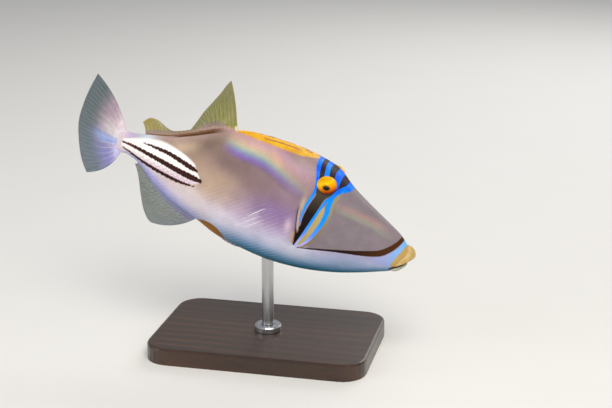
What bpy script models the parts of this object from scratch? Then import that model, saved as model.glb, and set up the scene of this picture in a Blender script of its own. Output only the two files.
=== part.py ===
# Arabian picasso triggerfish, a life-size display model on its stand.
# +X points to the snout, +Z up, and the right flank faces -Y.
# The origin is the middle of the underside of the stand's base.

import bisect
import math

import bmesh
import bpy
from mathutils import Matrix, Vector

# Fish sizes are millimetres in the fish's own frame:
# x runs forward from the root of the tail fin, y to its left, z up.
MM = 0.001
GAP = 0.3

# Pose
NOSE_DOWN = math.radians(15.6)
FISH_PLACE = (-88.0, 0.0, 117.0)
BEND_START = 50.0
BEND = 0.00245

# Body stations: x, top, bottom, half width, squareness of the section above its widest level
BODY_STATIONS = [
    (-9.0, 10.6, -8.4, 2.2, 2.1),
    (-1.5, 8.3, -5.5, 3.4, 2.1),
    (4.0, 8.8, -4.7, 4.1, 2.1),
    (14.0, 11.6, -8.0, 5.5, 2.1),
    (27.0, 15.5, -16.6, 7.4, 2.1),
    (41.0, 21.9, -23.0, 9.8, 2.1),
    (55.0, 28.9, -26.9, 12.5, 2.1),
    (69.0, 33.4, -31.9, 15.0, 2.1),
    (84.0, 34.9, -34.3, 16.9, 2.1),
    (100.0, 35.0, -35.6, 17.8, 2.2),
    (113.0, 33.2, -35.2, 17.4, 2.45),
    (127.0, 27.6, -33.4, 16.0, 2.8),
    (142.0, 19.4, -29.8, 13.6, 2.45),
    (156.0, 12.3, -24.9, 10.8, 2.2),
    (168.0, 6.3, -19.9, 8.1, 2.15),
    (178.0, 0.8, -15.8, 6.2, 2.15),
]
WIDEST_LEVEL = 0.46
LOWER_SQUARENESS = 2.15
BODY_RINGS = 64
BODY_SEGMENTS = 40
NOSE_RINGS = 8
NOSE_START = 168.0
NOSE_TIP = 179.8
NOSE_LEVEL = -7.2
NOSE_POWER = 2.8

# Cuts between head, trunk and tail stalk
HEAD_CUT = 115.0
HEAD_CUT_LEAN = 0.1
STALK_CUT = 27.0
TAIL_CUT = -1.5

# Head
EYE_X, EYE_Z = 124.3, 22.8
EYE_RADIUS = 6.0
EYE_FLATNESS = 0.87
EYE_STANDS_OUT = 3.2
EYE_FACING = (0.24, 0.96, 0.12)
CORNEA_RISE = 0.45
CORNEA_SPREAD = 0.22
ORBIT_WAY = (0.2, 0.74, 0.64)
ORBIT_RISE = 2.3
ORBIT_SPREAD = 8.5
ORBIT_FADE = 4.0
BROW = {"x": 124.5, "reach": (8.5, 10.0), "rise": 2.3, "fade": 12.0}
EYE_RINGS = 12
EYE_SEGMENTS = 18
NOSTRILS = [(133.2, 21.0, 0.75), (135.4, 20.2, 0.55)]
GILL_SLIT = {"z": -6.0, "height": 26.0, "width": 1.5, "depth": 2.4}
MOUTH_LINE = {"x": 176.5, "z": -11.6, "slope": 39.0, "opening": 1.0}
MOUTH_DEPTH = 9.0
MOUTH_WIDTH = 11.0
LIP_PARTING = 26.0
LIP_RINGS = 18
LIP_SEGMENTS = 14
UPPER_LIP = {
    "corner": (173.4, 5.7, -13.0), "front": (179.9, -3.9),
    "thick": (1.5, 3.2), "tall": (1.7, 4.4), "tilt": -28.0,
}
LOWER_LIP = {
    "corner": (172.8, 5.5, -15.6), "front": (177.6, -11.4),
    "thick": (1.4, 2.6), "tall": (1.1, 2.0), "tilt": 12.0,
}

# Fins: half thickness of the membrane, rise of a ray above it, its share of the ray spacing
MEMBRANE = 0.3
RAY_RISE = 0.28
RAY_SHARE = 0.5
RAY_STEPS = 12
# Rows of faces crowd towards the root, where a fin bends most
ROW_CROWD = 1.35

# Soft dorsal fin, from its front ray (0) to its last (1)
DORSAL_RAYS = 24
DORSAL_BASE = (64.4, 11.6)
DORSAL_LENGTH = [
    (0.0, 28.7), (0.06, 26.6), (0.14, 25.2), (0.24, 25.2),
    (0.34, 22.7), (0.48, 16.5), (0.72, 13.2), (1.0, 10.0),
]
DORSAL_SWEEP = [(0.0, 23.0), (0.3, 26.0), (0.7, 30.0), (1.0, 36.0)]
DORSAL_LEAN = [
    (0.0, 6.0), (0.07, 24.0), (0.14, 49.0), (0.22, 74.0), (0.3, 92.0), (0.38, 117.0),
    (0.46, 138.0), (0.57, 136.0), (0.7, 104.0), (0.83, 66.0), (1.0, 34.0),
]
DORSAL_ROOT = 0.9
DORSAL_ROOT_DEPTH = 0.3
DORSAL_FOLD = 3.2
DORSAL_ROWS = 8

# Anal fin, listed the same way
ANAL_RAYS = 22
ANAL_BASE = (54.3, 11.0)
ANAL_LENGTH = [(0.0, 26.0), (0.08, 29.0), (0.3, 25.0), (0.6, 17.0), (1.0, 6.5)]
ANAL_SWEEP = [(0.0, 60.0), (0.3, 56.0), (0.6, 47.0), (1.0, 34.0)]
ANAL_LEAN = [(0.0, 5.0), (0.3, 16.0), (0.6, 36.0), (1.0, 60.0)]
ANAL_ROOT = 1.0
ANAL_ROOT_DEPTH = 0.25
ANAL_FOLD = 1.6
ANAL_ROWS = 7

# Tail fin: where its margin runs, from the upper corner (0) to the lower (1)
TAIL_RAYS = 12
TAIL_MARGIN_X = [
    (0.0, -28.6), (0.16, -31.8), (0.32, -33.8), (0.52, -34.6),
    (0.7, -31.8), (0.86, -26.4), (1.0, -20.4),
]
TAIL_MARGIN_Z = [
    (0.0, 33.4), (0.16, 22.8), (0.32, 12.8), (0.52, 1.0),
    (0.7, -9.8), (0.86, -20.4), (1.0, -29.2),
]
TAIL_ROOT_Z = (8.2, -5.4)
TAIL_ROOT = 2.5
TAIL_ROOT_DEPTH = 0.28
TAIL_FAN = (66.0, -78.0)
TAIL_ROWS = 7

# Pectoral fins, from the upper ray (0) to the lower (1): rays set out backwards, then droop
PECTORAL_RAYS = 13
PECTORAL_BASE = ((112.9, -3.0), (113.9, -14.0))
PECTORAL_LENGTH = [(0.0, 30.0), (0.12, 36.0), (0.4, 33.0), (0.75, 24.0), (1.0, 15.0)]
PECTORAL_ANGLE = (29.0, 3.0)
PECTORAL_DROOP = (70.0, 38.0)
PECTORAL_DROOP_START = 8.0
PECTORAL_DROOP_LENGTH = 14.0
PECTORAL_ROOT = 1.1
PECTORAL_ROOT_DEPTH = 0.25
PECTORAL_SINK = 1.4
PECTORAL_STAND_OFF = 4.6
PECTORAL_SPREAD = 3.5
PECTORAL_FLARE = 0.12
PECTORAL_ROWS = 7

# Folded first dorsal fin: spines as base x, tip x, base radius, tip radius, rise of base and tip
SPINES = [
    (110.4, 83.0, 1.25, 0.5, -0.2, 0.55),
    (99.0, 77.5, 0.85, 0.35, -0.3, 0.3),
    (89.0, 72.0, 0.65, 0.3, -0.3, 0.2),
]
SPINE_GROOVE = (112.2, 64.9)
GROOVE_HALF_WIDTH = 1.9
GROOVE_DEPTH = 1.8
GROOVE_CLEAR = 3.0
FOLDED_MEMBRANE_RISE = 0.25
FOLD_RINGS = 20
FOLD_SEGMENTS = 12
SPINE_RINGS = 9
SPINE_SEGMENTS = 10

# Pelvic spine on the belly's midline
PELVIC_X = (70.5, 84.5)
PELVIC_HALF_WIDTH = 1.7
PELVIC_DROP = 1.7
PELVIC_SINK = 1.5
PELVIC_SCALES = 5
PELVIC_SCALE_STEP = 0.12

# Stand
BASE_SIZE = (130.0, 86.0, 10.0)
BASE_CORNER = 14.0
BASE_EDGE = 1.4
ROD_RADIUS = 3.5
ROD_TOP = 95.0
ROD_SIDES = 24
COLLAR_RADIUS = 8.0
COLLAR_HEIGHT = 3.5
COLLAR_CHAMFER = 0.8
COLLAR_SIDES = 28

# Colours, roughness, metallic
FINISHES = {
    "fish_skin": ((0.48, 0.40, 0.42), 0.38, 0.0),
    "fin_membrane": ((0.52, 0.54, 0.46), 0.4, 0.0),
    "tail_membrane": ((0.66, 0.66, 0.74), 0.4, 0.0),
    "yellow_fold": ((0.85, 0.58, 0.05), 0.4, 0.0),
    "lip_skin": ((0.78, 0.58, 0.3), 0.4, 0.0),
    "eye_gloss": ((0.9, 0.45, 0.02), 0.15, 0.0),
    "stained_wood": ((0.1, 0.055, 0.035), 0.4, 0.0),
    "brushed_steel": ((0.6, 0.6, 0.6), 0.3, 1.0),
}


def clamp(value, low=0.0, high=1.0):
    return max(low, min(high, value))


def blend(a, b, t):
    return a + (b - a) * t


def ease(t):
    t = clamp(t)
    return t * t * (3.0 - 2.0 * t)


def curve_through(points):
    # A smooth function of x through (x, value) points
    xs = [point[0] for point in points]
    values = [point[1] for point in points]
    last = len(xs) - 1

    def slope(i):
        low, high = max(i - 1, 0), min(i + 1, last)
        return (values[high] - values[low]) / (xs[high] - xs[low])

    def value_at(x):
        x = clamp(x, xs[0], xs[-1])
        i = min(bisect.bisect_right(xs, x) - 1, last - 1)
        span = xs[i + 1] - xs[i]
        t = (x - xs[i]) / span
        rise = ease(t)
        start = t * (1.0 - t) ** 2 * span * slope(i)
        end = t * t * (1.0 - t) * span * slope(i + 1)
        return blend(values[i], values[i + 1], rise) + start - end

    return value_at


# The body's profile
top_at = curve_through([(s[0], s[1]) for s in BODY_STATIONS])
bottom_at = curve_through([(s[0], s[2]) for s in BODY_STATIONS])
width_at = curve_through([(s[0], s[3]) for s in BODY_STATIONS])
squareness_at = curve_through([(s[0], s[4]) for s in BODY_STATIONS])


def section(x, grow=0.0):
    # Top, bottom, half width and widest level at x; the nose closes to a blunt end
    top = top_at(x) + grow
    bottom = bottom_at(x) - grow
    half = width_at(x) + grow
    if x > NOSE_START:
        along = clamp((x - NOSE_START) / (NOSE_TIP + grow - NOSE_START))
        close = (1.0 - along ** NOSE_POWER) ** (1.0 / NOSE_POWER)
        top = blend(NOSE_LEVEL, top, close)
        bottom = blend(NOSE_LEVEL, bottom, close)
        half *= close
    return top, bottom, half, blend(bottom, top, WIDEST_LEVEL)


def skin_point(x, angle, grow=0.0):
    top, bottom, half, middle = section(x, grow)
    above = math.sin(angle) > 0.0
    power = 2.0 / (squareness_at(x) if above else LOWER_SQUARENESS)
    across = math.copysign(abs(math.cos(angle)) ** power, math.cos(angle))
    up = math.copysign(abs(math.sin(angle)) ** power, math.sin(angle))
    reach = top - middle if above else middle - bottom
    point = Vector((x, half * across, middle + reach * up))
    return point + orbit_swell(point) + brow_swell(point)


def orbit_swell(point):
    # The skin rises in a low dome round each eye
    side = math.copysign(1.0, point.y)
    centre = Vector((EYE_X, side * skin_width(EYE_X, EYE_Z), EYE_Z))
    near = math.exp(-(point - centre).length_squared / ORBIT_SPREAD ** 2)
    near *= ease(abs(point.y) / ORBIT_FADE)
    way = Vector(ORBIT_WAY)
    way.y *= side
    return way.normalized() * ORBIT_RISE * near


def brow_swell(point):
    # The forehead fills out between the eyes
    along = (point.x - BROW["x"]) / BROW["reach"][0]
    across = point.y / BROW["reach"][1]
    rise = BROW["rise"] * math.exp(-along * along - across * across)
    return Vector((0.0, 0.0, rise * ease(point.z / BROW["fade"])))


def skin_width(x, z):
    # Half width of the body at height z
    top, bottom, half, middle = section(x)
    reach = top - middle if z > middle else middle - bottom
    squareness = squareness_at(x) if z > middle else LOWER_SQUARENESS
    level = clamp(abs(z - middle) / reach)
    return half * (1.0 - level ** squareness) ** (1.0 / squareness)


def skin_normal(x, z):
    # Outward normal of the left flank
    step = 0.5
    slope_x = (skin_width(x + step, z) - skin_width(x - step, z)) / (2 * step)
    slope_z = (skin_width(x, z + step) - skin_width(x, z - step)) / (2 * step)
    return Vector((-slope_x, 1.0, -slope_z)).normalized()


def bent(point):
    # The tail swings to the left
    past = max(0.0, BEND_START - point.x)
    return Vector((point.x, point.y + BEND * past * past, point.z))


# Scene
def clear_scene():
    for obj in list(bpy.data.objects):
        bpy.data.objects.remove(obj, do_unlink=True)


def new_collection(name):
    collection = bpy.data.collections.new(name)
    bpy.context.scene.collection.children.link(collection)
    return collection


def finish_material(name):
    material = bpy.data.materials.get(name)
    if material is None:
        colour, roughness, metallic = FINISHES[name]
        material = bpy.data.materials.new(name)
        material.use_nodes = True
        shader = material.node_tree.nodes["Principled BSDF"]
        shader.inputs["Base Color"].default_value = (*colour, 1.0)
        shader.inputs["Roughness"].default_value = roughness
        shader.inputs["Metallic"].default_value = metallic
        material.diffuse_color = (*colour, 1.0)
    return material


def object_from(bm, name, collection, finish=None, parent=None):
    bmesh.ops.recalc_face_normals(bm, faces=bm.faces[:])
    if bm.calc_volume(signed=True) < 0.0:
        bmesh.ops.reverse_faces(bm, faces=bm.faces[:])
    mesh = bpy.data.meshes.new(name)
    bm.to_mesh(mesh)
    bm.free()
    obj = bpy.data.objects.new(name, mesh)
    collection.objects.link(obj)
    obj.parent = parent
    if finish:
        mesh.materials.append(finish_material(finish))
    return obj


def shade(obj, angle=35.0):
    obj.data.shade_smooth()
    obj.data.set_sharp_from_angle(angle=math.radians(angle))


# Forms
def wrapped_sphere(place, rings, segments):
    # A sphere whose points move to place(t, angle); t runs from pole to pole
    bm = bmesh.new()
    bmesh.ops.create_uvsphere(bm, u_segments=segments, v_segments=rings, radius=1.0)
    for vert in bm.verts:
        t = math.acos(clamp(vert.co.z, -1.0, 1.0)) / math.pi
        angle = math.atan2(vert.co.y, vert.co.x)
        vert.co = bent(place(t, angle)) * MM
    return bm


def fin_sheet(centre, half_thickness, columns, rows):
    # A closed sheet about centre(u, v), split into triangles alike on both faces
    bm = bmesh.new()
    bmesh.ops.create_grid(bm, x_segments=columns, y_segments=rows, size=1.0)
    bmesh.ops.triangulate(bm, faces=bm.faces[:], quad_method="FIXED")
    made = bmesh.ops.extrude_face_region(bm, geom=bm.faces[:], use_keep_orig=True)
    lifted = [item for item in made["geom"] if isinstance(item, bmesh.types.BMVert)]
    bmesh.ops.translate(bm, verts=lifted, vec=(0.0, 0.0, 1.0))
    step = 0.01
    for vert in bm.verts:
        u = (vert.co.x + 1.0) / 2.0
        v = (vert.co.y + 1.0) / 2.0
        side = 1.0 if vert.co.z > 0.5 else -1.0
        along = centre(min(u + step, 1.0), v) - centre(max(u - step, 0.0), v)
        out = centre(u, min(v + step, 1.0)) - centre(u, max(v - step, 0.0))
        normal = along.cross(out).normalized()
        vert.co = bent(centre(u, v) + normal * side * half_thickness(u, v)) * MM
    return bm


def ray_crest(u, rays):
    # 1 on the middle of each ray, 0 on the membrane between rays
    across = (u * rays) % 1.0
    return clamp(1.0 - abs(across - 0.5) / (RAY_SHARE / 2.0))


def cut_away(bm, point, normal):
    # Cut a closed mesh by a plane, drop the side the normal points to and close the cut
    geometry = bm.verts[:] + bm.edges[:] + bm.faces[:]
    bmesh.ops.bisect_plane(
        bm, geom=geometry, plane_co=Vector(point) * MM, plane_no=normal, clear_outer=True, dist=1e-7)
    rim = [edge for edge in bm.edges if edge.is_boundary]
    bmesh.ops.holes_fill(bm, edges=rim, sides=0)


def keep_largest(bm):
    # Keep only the closed surface with the largest box
    bm.verts.ensure_lookup_table()
    left = set(bm.verts)
    islands = []
    while left:
        stack = [left.pop()]
        island = list(stack)
        while stack:
            for edge in stack.pop().link_edges:
                for vert in edge.verts:
                    if vert in left:
                        left.remove(vert)
                        stack.append(vert)
                        island.append(vert)
        islands.append(island)

    def spread(island):
        return sum(max(v.co[i] for v in island) - min(v.co[i] for v in island) for i in range(3))

    islands.sort(key=spread)
    scraps = [vert for island in islands[:-1] for vert in island]
    bmesh.ops.delete(bm, geom=scraps, context="VERTS")


def apply_boolean(obj, operation, operands):
    # One exact Boolean against a collection of closed meshes, applied to the object
    group = bpy.data.collections.new(obj.name + "_operands")
    for operand in operands:
        group.objects.link(operand)
    modifier = obj.modifiers.new(operation.lower(), "BOOLEAN")
    modifier.operation = operation
    modifier.solver = "EXACT"
    modifier.operand_type = "COLLECTION"
    modifier.collection = group
    bpy.context.view_layer.update()
    depsgraph = bpy.context.evaluated_depsgraph_get()
    mesh = bpy.data.meshes.new_from_object(obj.evaluated_get(depsgraph))
    obj.modifiers.clear()
    bm = bmesh.new()
    bm.from_mesh(mesh)
    keep_largest(bm)
    bm.to_mesh(mesh)
    bm.free()
    mesh.name = obj.name
    obj.data = mesh
    bpy.data.collections.remove(group)


def carve(obj, cutters):
    apply_boolean(obj, "DIFFERENCE", cutters)


def weld_on(obj, pieces):
    apply_boolean(obj, "UNION", pieces)
    for piece in pieces:
        bpy.data.objects.remove(piece, do_unlink=True)


def as_cutter(obj):
    obj.hide_render = True
    obj.display_type = "WIRE"
    return obj


# Body
def body_blank(grow=0.0):
    tail_end = BODY_STATIONS[0][0]
    nose_share = 1.0 - NOSE_RINGS / BODY_RINGS

    def place(t, angle):
        if t > nose_share:
            along = math.sin((t - nose_share) / (1.0 - nose_share) * math.pi / 2.0)
            x = blend(NOSE_START, NOSE_TIP + grow, along)
        else:
            x = blend(tail_end, NOSE_START, t / nose_share)
        if t < 1e-6 or t > 1.0 - 1e-6:
            return Vector((x, 0.0, section(x, grow)[3]))
        return skin_point(x, angle, grow)

    return wrapped_sphere(place, BODY_RINGS, BODY_SEGMENTS)


def head_plane(shift):
    # A point on the head cut, moved forward by shift, and the cut's forward normal
    return (HEAD_CUT + shift, 0.0, 0.0), Vector((1.0, 0.0, HEAD_CUT_LEAN)).normalized()


def cut_body(fish):
    half_gap = GAP / 2.0
    forward = Vector((1.0, 0.0, 0.0))
    point, normal = head_plane(half_gap)
    head = body_blank()
    cut_away(head, point, -normal)
    point, normal = head_plane(-half_gap)
    trunk = body_blank()
    cut_away(trunk, point, normal)
    cut_away(trunk, (STALK_CUT + half_gap, 0.0, 0.0), -forward)
    stalk = body_blank()
    cut_away(stalk, (STALK_CUT - half_gap, 0.0, 0.0), forward)
    cut_away(stalk, (TAIL_CUT, 0.0, 0.0), -forward)
    made = []
    for bm, name in ((head, "head"), (trunk, "trunk"), (stalk, "tail_stalk")):
        made.append(object_from(bm, name, fish["parts"], "fish_skin", fish["pose"]))
    return made


# Head details
def eye_centre(side):
    surface = Vector((EYE_X, skin_width(EYE_X, EYE_Z), EYE_Z))
    sunk = EYE_RADIUS - EYE_STANDS_OUT - ORBIT_RISE
    centre = surface - Vector(ORBIT_WAY).normalized() * sunk
    return Vector((centre.x, side * centre.y, centre.z))


def eyeball(side, grow=0.0):
    # Wider than tall, with a cornea that rises a little over the front of the ball
    centre = eye_centre(side)
    axis = Vector(EYE_FACING)
    axis.y *= side
    axis.normalize()
    across = Vector((0.0, 0.0, 1.0)).cross(axis).normalized()
    upward = axis.cross(across)

    def place(t, angle):
        polar = t * math.pi
        radius = EYE_RADIUS + CORNEA_RISE * ease(1.0 - t / CORNEA_SPREAD)
        point = centre + axis * math.cos(polar) * (radius + grow)
        point += across * math.sin(polar) * math.cos(angle) * (radius + grow)
        return point + upward * math.sin(polar) * math.sin(angle) * (radius * EYE_FLATNESS + grow)

    return wrapped_sphere(place, EYE_RINGS, EYE_SEGMENTS)


def pit(x, z, side, radius, depth):
    # A small round-bottomed hollow in the skin
    normal = skin_normal(x, z)
    centre = Vector((x, skin_width(x, z), z)) - normal * (depth - radius)
    centre.y *= side

    def place(t, angle):
        polar = t * math.pi
        across = math.sin(polar) * radius
        return centre + Vector((math.cos(angle) * across, math.sin(angle) * across, math.cos(polar) * radius))

    return wrapped_sphere(place, 6, 8)


def lens(centre, size, slope=0.0):
    # An ellipsoid with its full sizes along x, y and z, tilted nose-up by slope degrees
    turn = Matrix.Rotation(-math.radians(slope), 3, "Y")

    def place(t, angle):
        polar = t * math.pi
        across = math.sin(polar) / 2.0
        point = Vector((
            math.cos(angle) * across * size[0],
            math.sin(angle) * across * size[1],
            math.cos(polar) / 2.0 * size[2],
        ))
        return Vector(centre) + turn @ point

    return wrapped_sphere(place, 10, 16)


def gill_cutter(side):
    z = GILL_SLIT["z"]
    x = HEAD_CUT - HEAD_CUT_LEAN * z
    slope = math.degrees(math.atan(HEAD_CUT_LEAN))
    size = (GILL_SLIT["width"], 2.0 * GILL_SLIT["depth"], GILL_SLIT["height"])
    return lens((x, side * skin_width(x, z), z), size, slope)


def lip_tube(lip):
    # A fleshy band that runs from the left corner of the mouth round the front to the right
    corner_x, corner_y, corner_z = lip["corner"]
    front_x, front_z = lip["front"]
    tilt = math.radians(lip["tilt"])

    def path(t):
        turn = (t - 0.5) * math.pi
        forward = math.cos(turn)
        return Vector((
            blend(corner_x, front_x, forward ** 0.7 if forward > 1e-9 else 0.0),
            corner_y * math.sin(turn),
            blend(corner_z, front_z, forward),
        ))

    def place(t, angle):
        t = clamp(t, 0.0, 1.0)
        turn = (t - 0.5) * math.pi
        fullness = math.cos(turn) ** 0.5 if 0.0 < t < 1.0 else 0.0
        close = (1.0 - abs(2.0 * t - 1.0) ** 6) ** 0.5
        thick = blend(lip["thick"][0], lip["thick"][1], fullness) * close
        tall = blend(lip["tall"][0], lip["tall"][1], fullness) * close
        outward = Vector((math.cos(turn), math.sin(turn), 0.0))
        upward = Vector((0.0, 0.0, 1.0))
        lean = math.sin(tilt) * math.cos(turn)
        upward = (upward + outward * lean).normalized()
        return path(t) + outward * math.cos(angle) * thick + upward * math.sin(angle) * tall

    return wrapped_sphere(place, LIP_RINGS, LIP_SEGMENTS)


def add_head_details(fish, head, trunk):
    parts, cutters, pose = fish["parts"], fish["cutters"], fish["pose"]
    head_cuts = []
    for side, name in ((-1.0, "right"), (1.0, "left")):
        object_from(eyeball(side), "eye_" + name, parts, "eye_gloss", pose)
        socket = object_from(eyeball(side, GAP), "eye_socket_" + name, cutters, None, pose)
        head_cuts.append(as_cutter(socket))
        for x, z, radius in NOSTRILS:
            hole = object_from(pit(x, z, side, radius, radius), "nostril", cutters, None, pose)
            head_cuts.append(as_cutter(hole))
        gill = as_cutter(object_from(gill_cutter(side), "gill_slit_" + name, cutters, None, pose))
        head_cuts.append(gill)
        carve(trunk, [gill])
    head_cuts.append(mouth_cutter(fish, "mouth_slot", MOUTH_DEPTH, MOUTH_WIDTH))
    carve(head, head_cuts)


def mouth_cutter(fish, name, length, width):
    # A thin lens along the line of the mouth
    place = (MOUTH_LINE["x"], 0.0, MOUTH_LINE["z"])
    bm = lens(place, (length, width, MOUTH_LINE["opening"]), MOUTH_LINE["slope"])
    return as_cutter(object_from(bm, name, fish["cutters"], None, fish["pose"]))


def add_lips(fish, grown_body):
    parting = mouth_cutter(fish, "lip_parting", LIP_PARTING, LIP_PARTING)
    for lip, name in ((UPPER_LIP, "lip_upper"), (LOWER_LIP, "lip_lower")):
        obj = object_from(lip_tube(lip), name, fish["parts"], "lip_skin", fish["pose"])
        carve(obj, [grown_body, parting])
        shade(obj)


# Fins
def ray_fin(base_x, profile, down, length, sweep, lean, fold):
    # Centre surface of a median fin: each ray rises from the midline, bends back and leans over
    length_at = curve_through(length)
    sweep_at = curve_through(sweep)
    lean_at = curve_through(lean)
    way = -1.0 if down else 1.0

    def centre(u, v):
        v = v ** ROW_CROWD
        x = blend(base_x[0], base_x[1], u)
        point = Vector((x, 0.0, profile(x) + way * GAP))
        stride = length_at(u) * v / RAY_STEPS
        for i in range(RAY_STEPS):
            along = (i + 0.5) / RAY_STEPS * v
            back = math.radians(sweep_at(u) * (0.7 + 0.6 * along))
            over = math.radians(lean_at(u)) * ease(fold * along)
            point += stride * Vector((
                -math.sin(back),
                math.sin(over) * math.cos(back),
                way * math.cos(over) * math.cos(back),
            ))
        return point

    return centre


def fin_thickness(rays, root, root_depth):
    # Thick in the fleshy root, then membrane with rays that taper to the margin
    def half_thickness(u, v):
        fleshy = (1.0 - ease(v / root_depth)) * (root - MEMBRANE)
        crest = ray_crest(u, rays) * RAY_RISE * (1.0 - 0.5 * v)
        return MEMBRANE + max(fleshy, crest)

    return half_thickness


def add_soft_dorsal(fish):
    centre = ray_fin(
        DORSAL_BASE, top_at, False, DORSAL_LENGTH, DORSAL_SWEEP, DORSAL_LEAN, DORSAL_FOLD)
    half_thickness = fin_thickness(DORSAL_RAYS, DORSAL_ROOT, DORSAL_ROOT_DEPTH)
    bm = fin_sheet(centre, half_thickness, DORSAL_RAYS * 2, DORSAL_ROWS)
    object_from(bm, "soft_dorsal_fin", fish["parts"], "fin_membrane", fish["pose"])


def add_anal(fish):
    centre = ray_fin(ANAL_BASE, bottom_at, True, ANAL_LENGTH, ANAL_SWEEP, ANAL_LEAN, ANAL_FOLD)
    half_thickness = fin_thickness(ANAL_RAYS, ANAL_ROOT, ANAL_ROOT_DEPTH)
    bm = fin_sheet(centre, half_thickness, ANAL_RAYS * 2, ANAL_ROWS)
    object_from(bm, "anal_fin", fish["parts"], "fin_membrane", fish["pose"])


def add_tail_fin(fish):
    margin_x = curve_through(TAIL_MARGIN_X)
    margin_z = curve_through(TAIL_MARGIN_Z)

    def centre(u, v):
        root = Vector((TAIL_CUT - GAP, 0.0, blend(TAIL_ROOT_Z[0], TAIL_ROOT_Z[1], u)))
        tip = Vector((margin_x(u), 0.0, margin_z(u)))
        angle = math.radians(blend(TAIL_FAN[0], TAIL_FAN[1], u))
        pull = (tip - root).length * 0.5
        knee = root + Vector((-math.cos(angle), 0.0, math.sin(angle))) * pull
        return root * (1.0 - v) ** 2 + knee * 2.0 * v * (1.0 - v) + tip * v * v

    def half_thickness(u, v):
        rounded = math.sqrt(max(0.0, 1.0 - (2.0 * u - 1.0) ** 4)) * TAIL_ROOT
        fleshy = (1.0 - ease(v / TAIL_ROOT_DEPTH)) * max(0.0, rounded - MEMBRANE)
        crest = ray_crest(u, TAIL_RAYS) * RAY_RISE * (1.2 - 0.6 * v)
        return MEMBRANE + max(fleshy, crest)

    bm = fin_sheet(centre, half_thickness, TAIL_RAYS * 4, TAIL_ROWS)
    object_from(bm, "caudal_fin", fish["parts"], "tail_membrane", fish["pose"])


def add_pectorals(fish, grown_body):
    length_at = curve_through(PECTORAL_LENGTH)
    upper, lower = PECTORAL_BASE

    for side, name in ((-1.0, "right"), (1.0, "left")):

        def centre(u, v):
            x = blend(upper[0], lower[0], u)
            z = blend(upper[1], lower[1], u)
            out = length_at(u) * v
            angle = blend(PECTORAL_ANGLE[0], PECTORAL_ANGLE[1], u)
            droop = blend(PECTORAL_DROOP[0], PECTORAL_DROOP[1], u)
            lift = PECTORAL_STAND_OFF * (1.0 - math.exp(-out / PECTORAL_SPREAD))
            rise = lift + PECTORAL_FLARE * out - PECTORAL_SINK
            point = Vector((x, side * (skin_width(x, z) + rise), z))
            for i in range(RAY_STEPS):
                along = out * (i + 0.5) / RAY_STEPS
                bend = ease((along - PECTORAL_DROOP_START) / PECTORAL_DROOP_LENGTH)
                turned = math.radians(angle - droop * bend)
                point += out / RAY_STEPS * Vector((-math.cos(turned), 0.0, math.sin(turned)))
            return point

        half_thickness = fin_thickness(PECTORAL_RAYS, PECTORAL_ROOT, PECTORAL_ROOT_DEPTH)
        bm = fin_sheet(centre, half_thickness, PECTORAL_RAYS * 2, PECTORAL_ROWS)
        obj = object_from(bm, "pectoral_fin_" + name, fish["parts"], "fin_membrane", fish["pose"])
        carve(obj, [grown_body])


# Folded first dorsal fin and pelvic spine
def canoe(x_range, half_width, depth, rise):
    # A slim body along the back, its ends drawn in
    def place(t, angle):
        x = blend(x_range[0], x_range[1], t)
        close = (1.0 - abs(2.0 * t - 1.0) ** 8) ** 0.5
        up = math.sin(angle)
        reach = rise if up > 0 else depth
        return Vector((x, half_width * close * math.cos(angle), top_at(x) + reach * close * up))

    return wrapped_sphere(place, FOLD_RINGS, FOLD_SEGMENTS)


def spine(base_x, tip_x, base_radius, tip_radius, base_rise, tip_rise):
    # A tapered spine laid back along the groove, round at its tip
    start = Vector((base_x, 0.0, top_at(base_x) + base_rise))
    end = Vector((tip_x, 0.0, top_at(tip_x) + tip_rise))

    def place(t, angle):
        centre = start.lerp(end, t)
        close = (1.0 - abs(2.0 * t - 1.0) ** 10) ** 0.5
        radius = blend(base_radius, tip_radius, t) * close
        return centre + Vector((0.0, math.cos(angle) * radius, math.sin(angle) * radius))

    return wrapped_sphere(place, SPINE_RINGS, SPINE_SEGMENTS)


def add_spiny_dorsal(fish, trunk):
    parts, pose = fish["parts"], fish["pose"]
    front, rear = SPINE_GROOVE
    groove = canoe((front, rear), GROOVE_HALF_WIDTH, GROOVE_DEPTH, GROOVE_CLEAR)
    groove = as_cutter(object_from(groove, "spine_groove", fish["cutters"], None, pose))
    carve(trunk, [groove])
    membrane = canoe(
        (front - GAP, rear + GAP), GROOVE_HALF_WIDTH - GAP, GROOVE_DEPTH - GAP, FOLDED_MEMBRANE_RISE)
    fold = object_from(membrane, "spiny_dorsal_fin", parts, "yellow_fold", pose)
    spines = [object_from(spine(*sizes), "spine", parts, None, pose) for sizes in SPINES]
    weld_on(fold, spines)
    shade(fold)


def add_pelvic_spine(fish, grown_body):
    # A short keel of rough scales
    def place(t, angle):
        x = blend(PELVIC_X[0], PELVIC_X[1], t)
        close = (1.0 - abs(2.0 * t - 1.0) ** 3) ** 0.5
        scale = 1.0 - PELVIC_SCALE_STEP * (1.0 - (t * PELVIC_SCALES) % 1.0)
        reach = PELVIC_SINK if math.sin(angle) > 0 else PELVIC_DROP
        y = PELVIC_HALF_WIDTH * close * scale * math.cos(angle)
        return Vector((x, y, bottom_at(x) + reach * close * scale * math.sin(angle)))

    bm = wrapped_sphere(place, FOLD_RINGS, FOLD_SEGMENTS)
    keel = object_from(bm, "pelvic_spine", fish["parts"], "fish_skin", fish["pose"])
    carve(keel, [grown_body])


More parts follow.
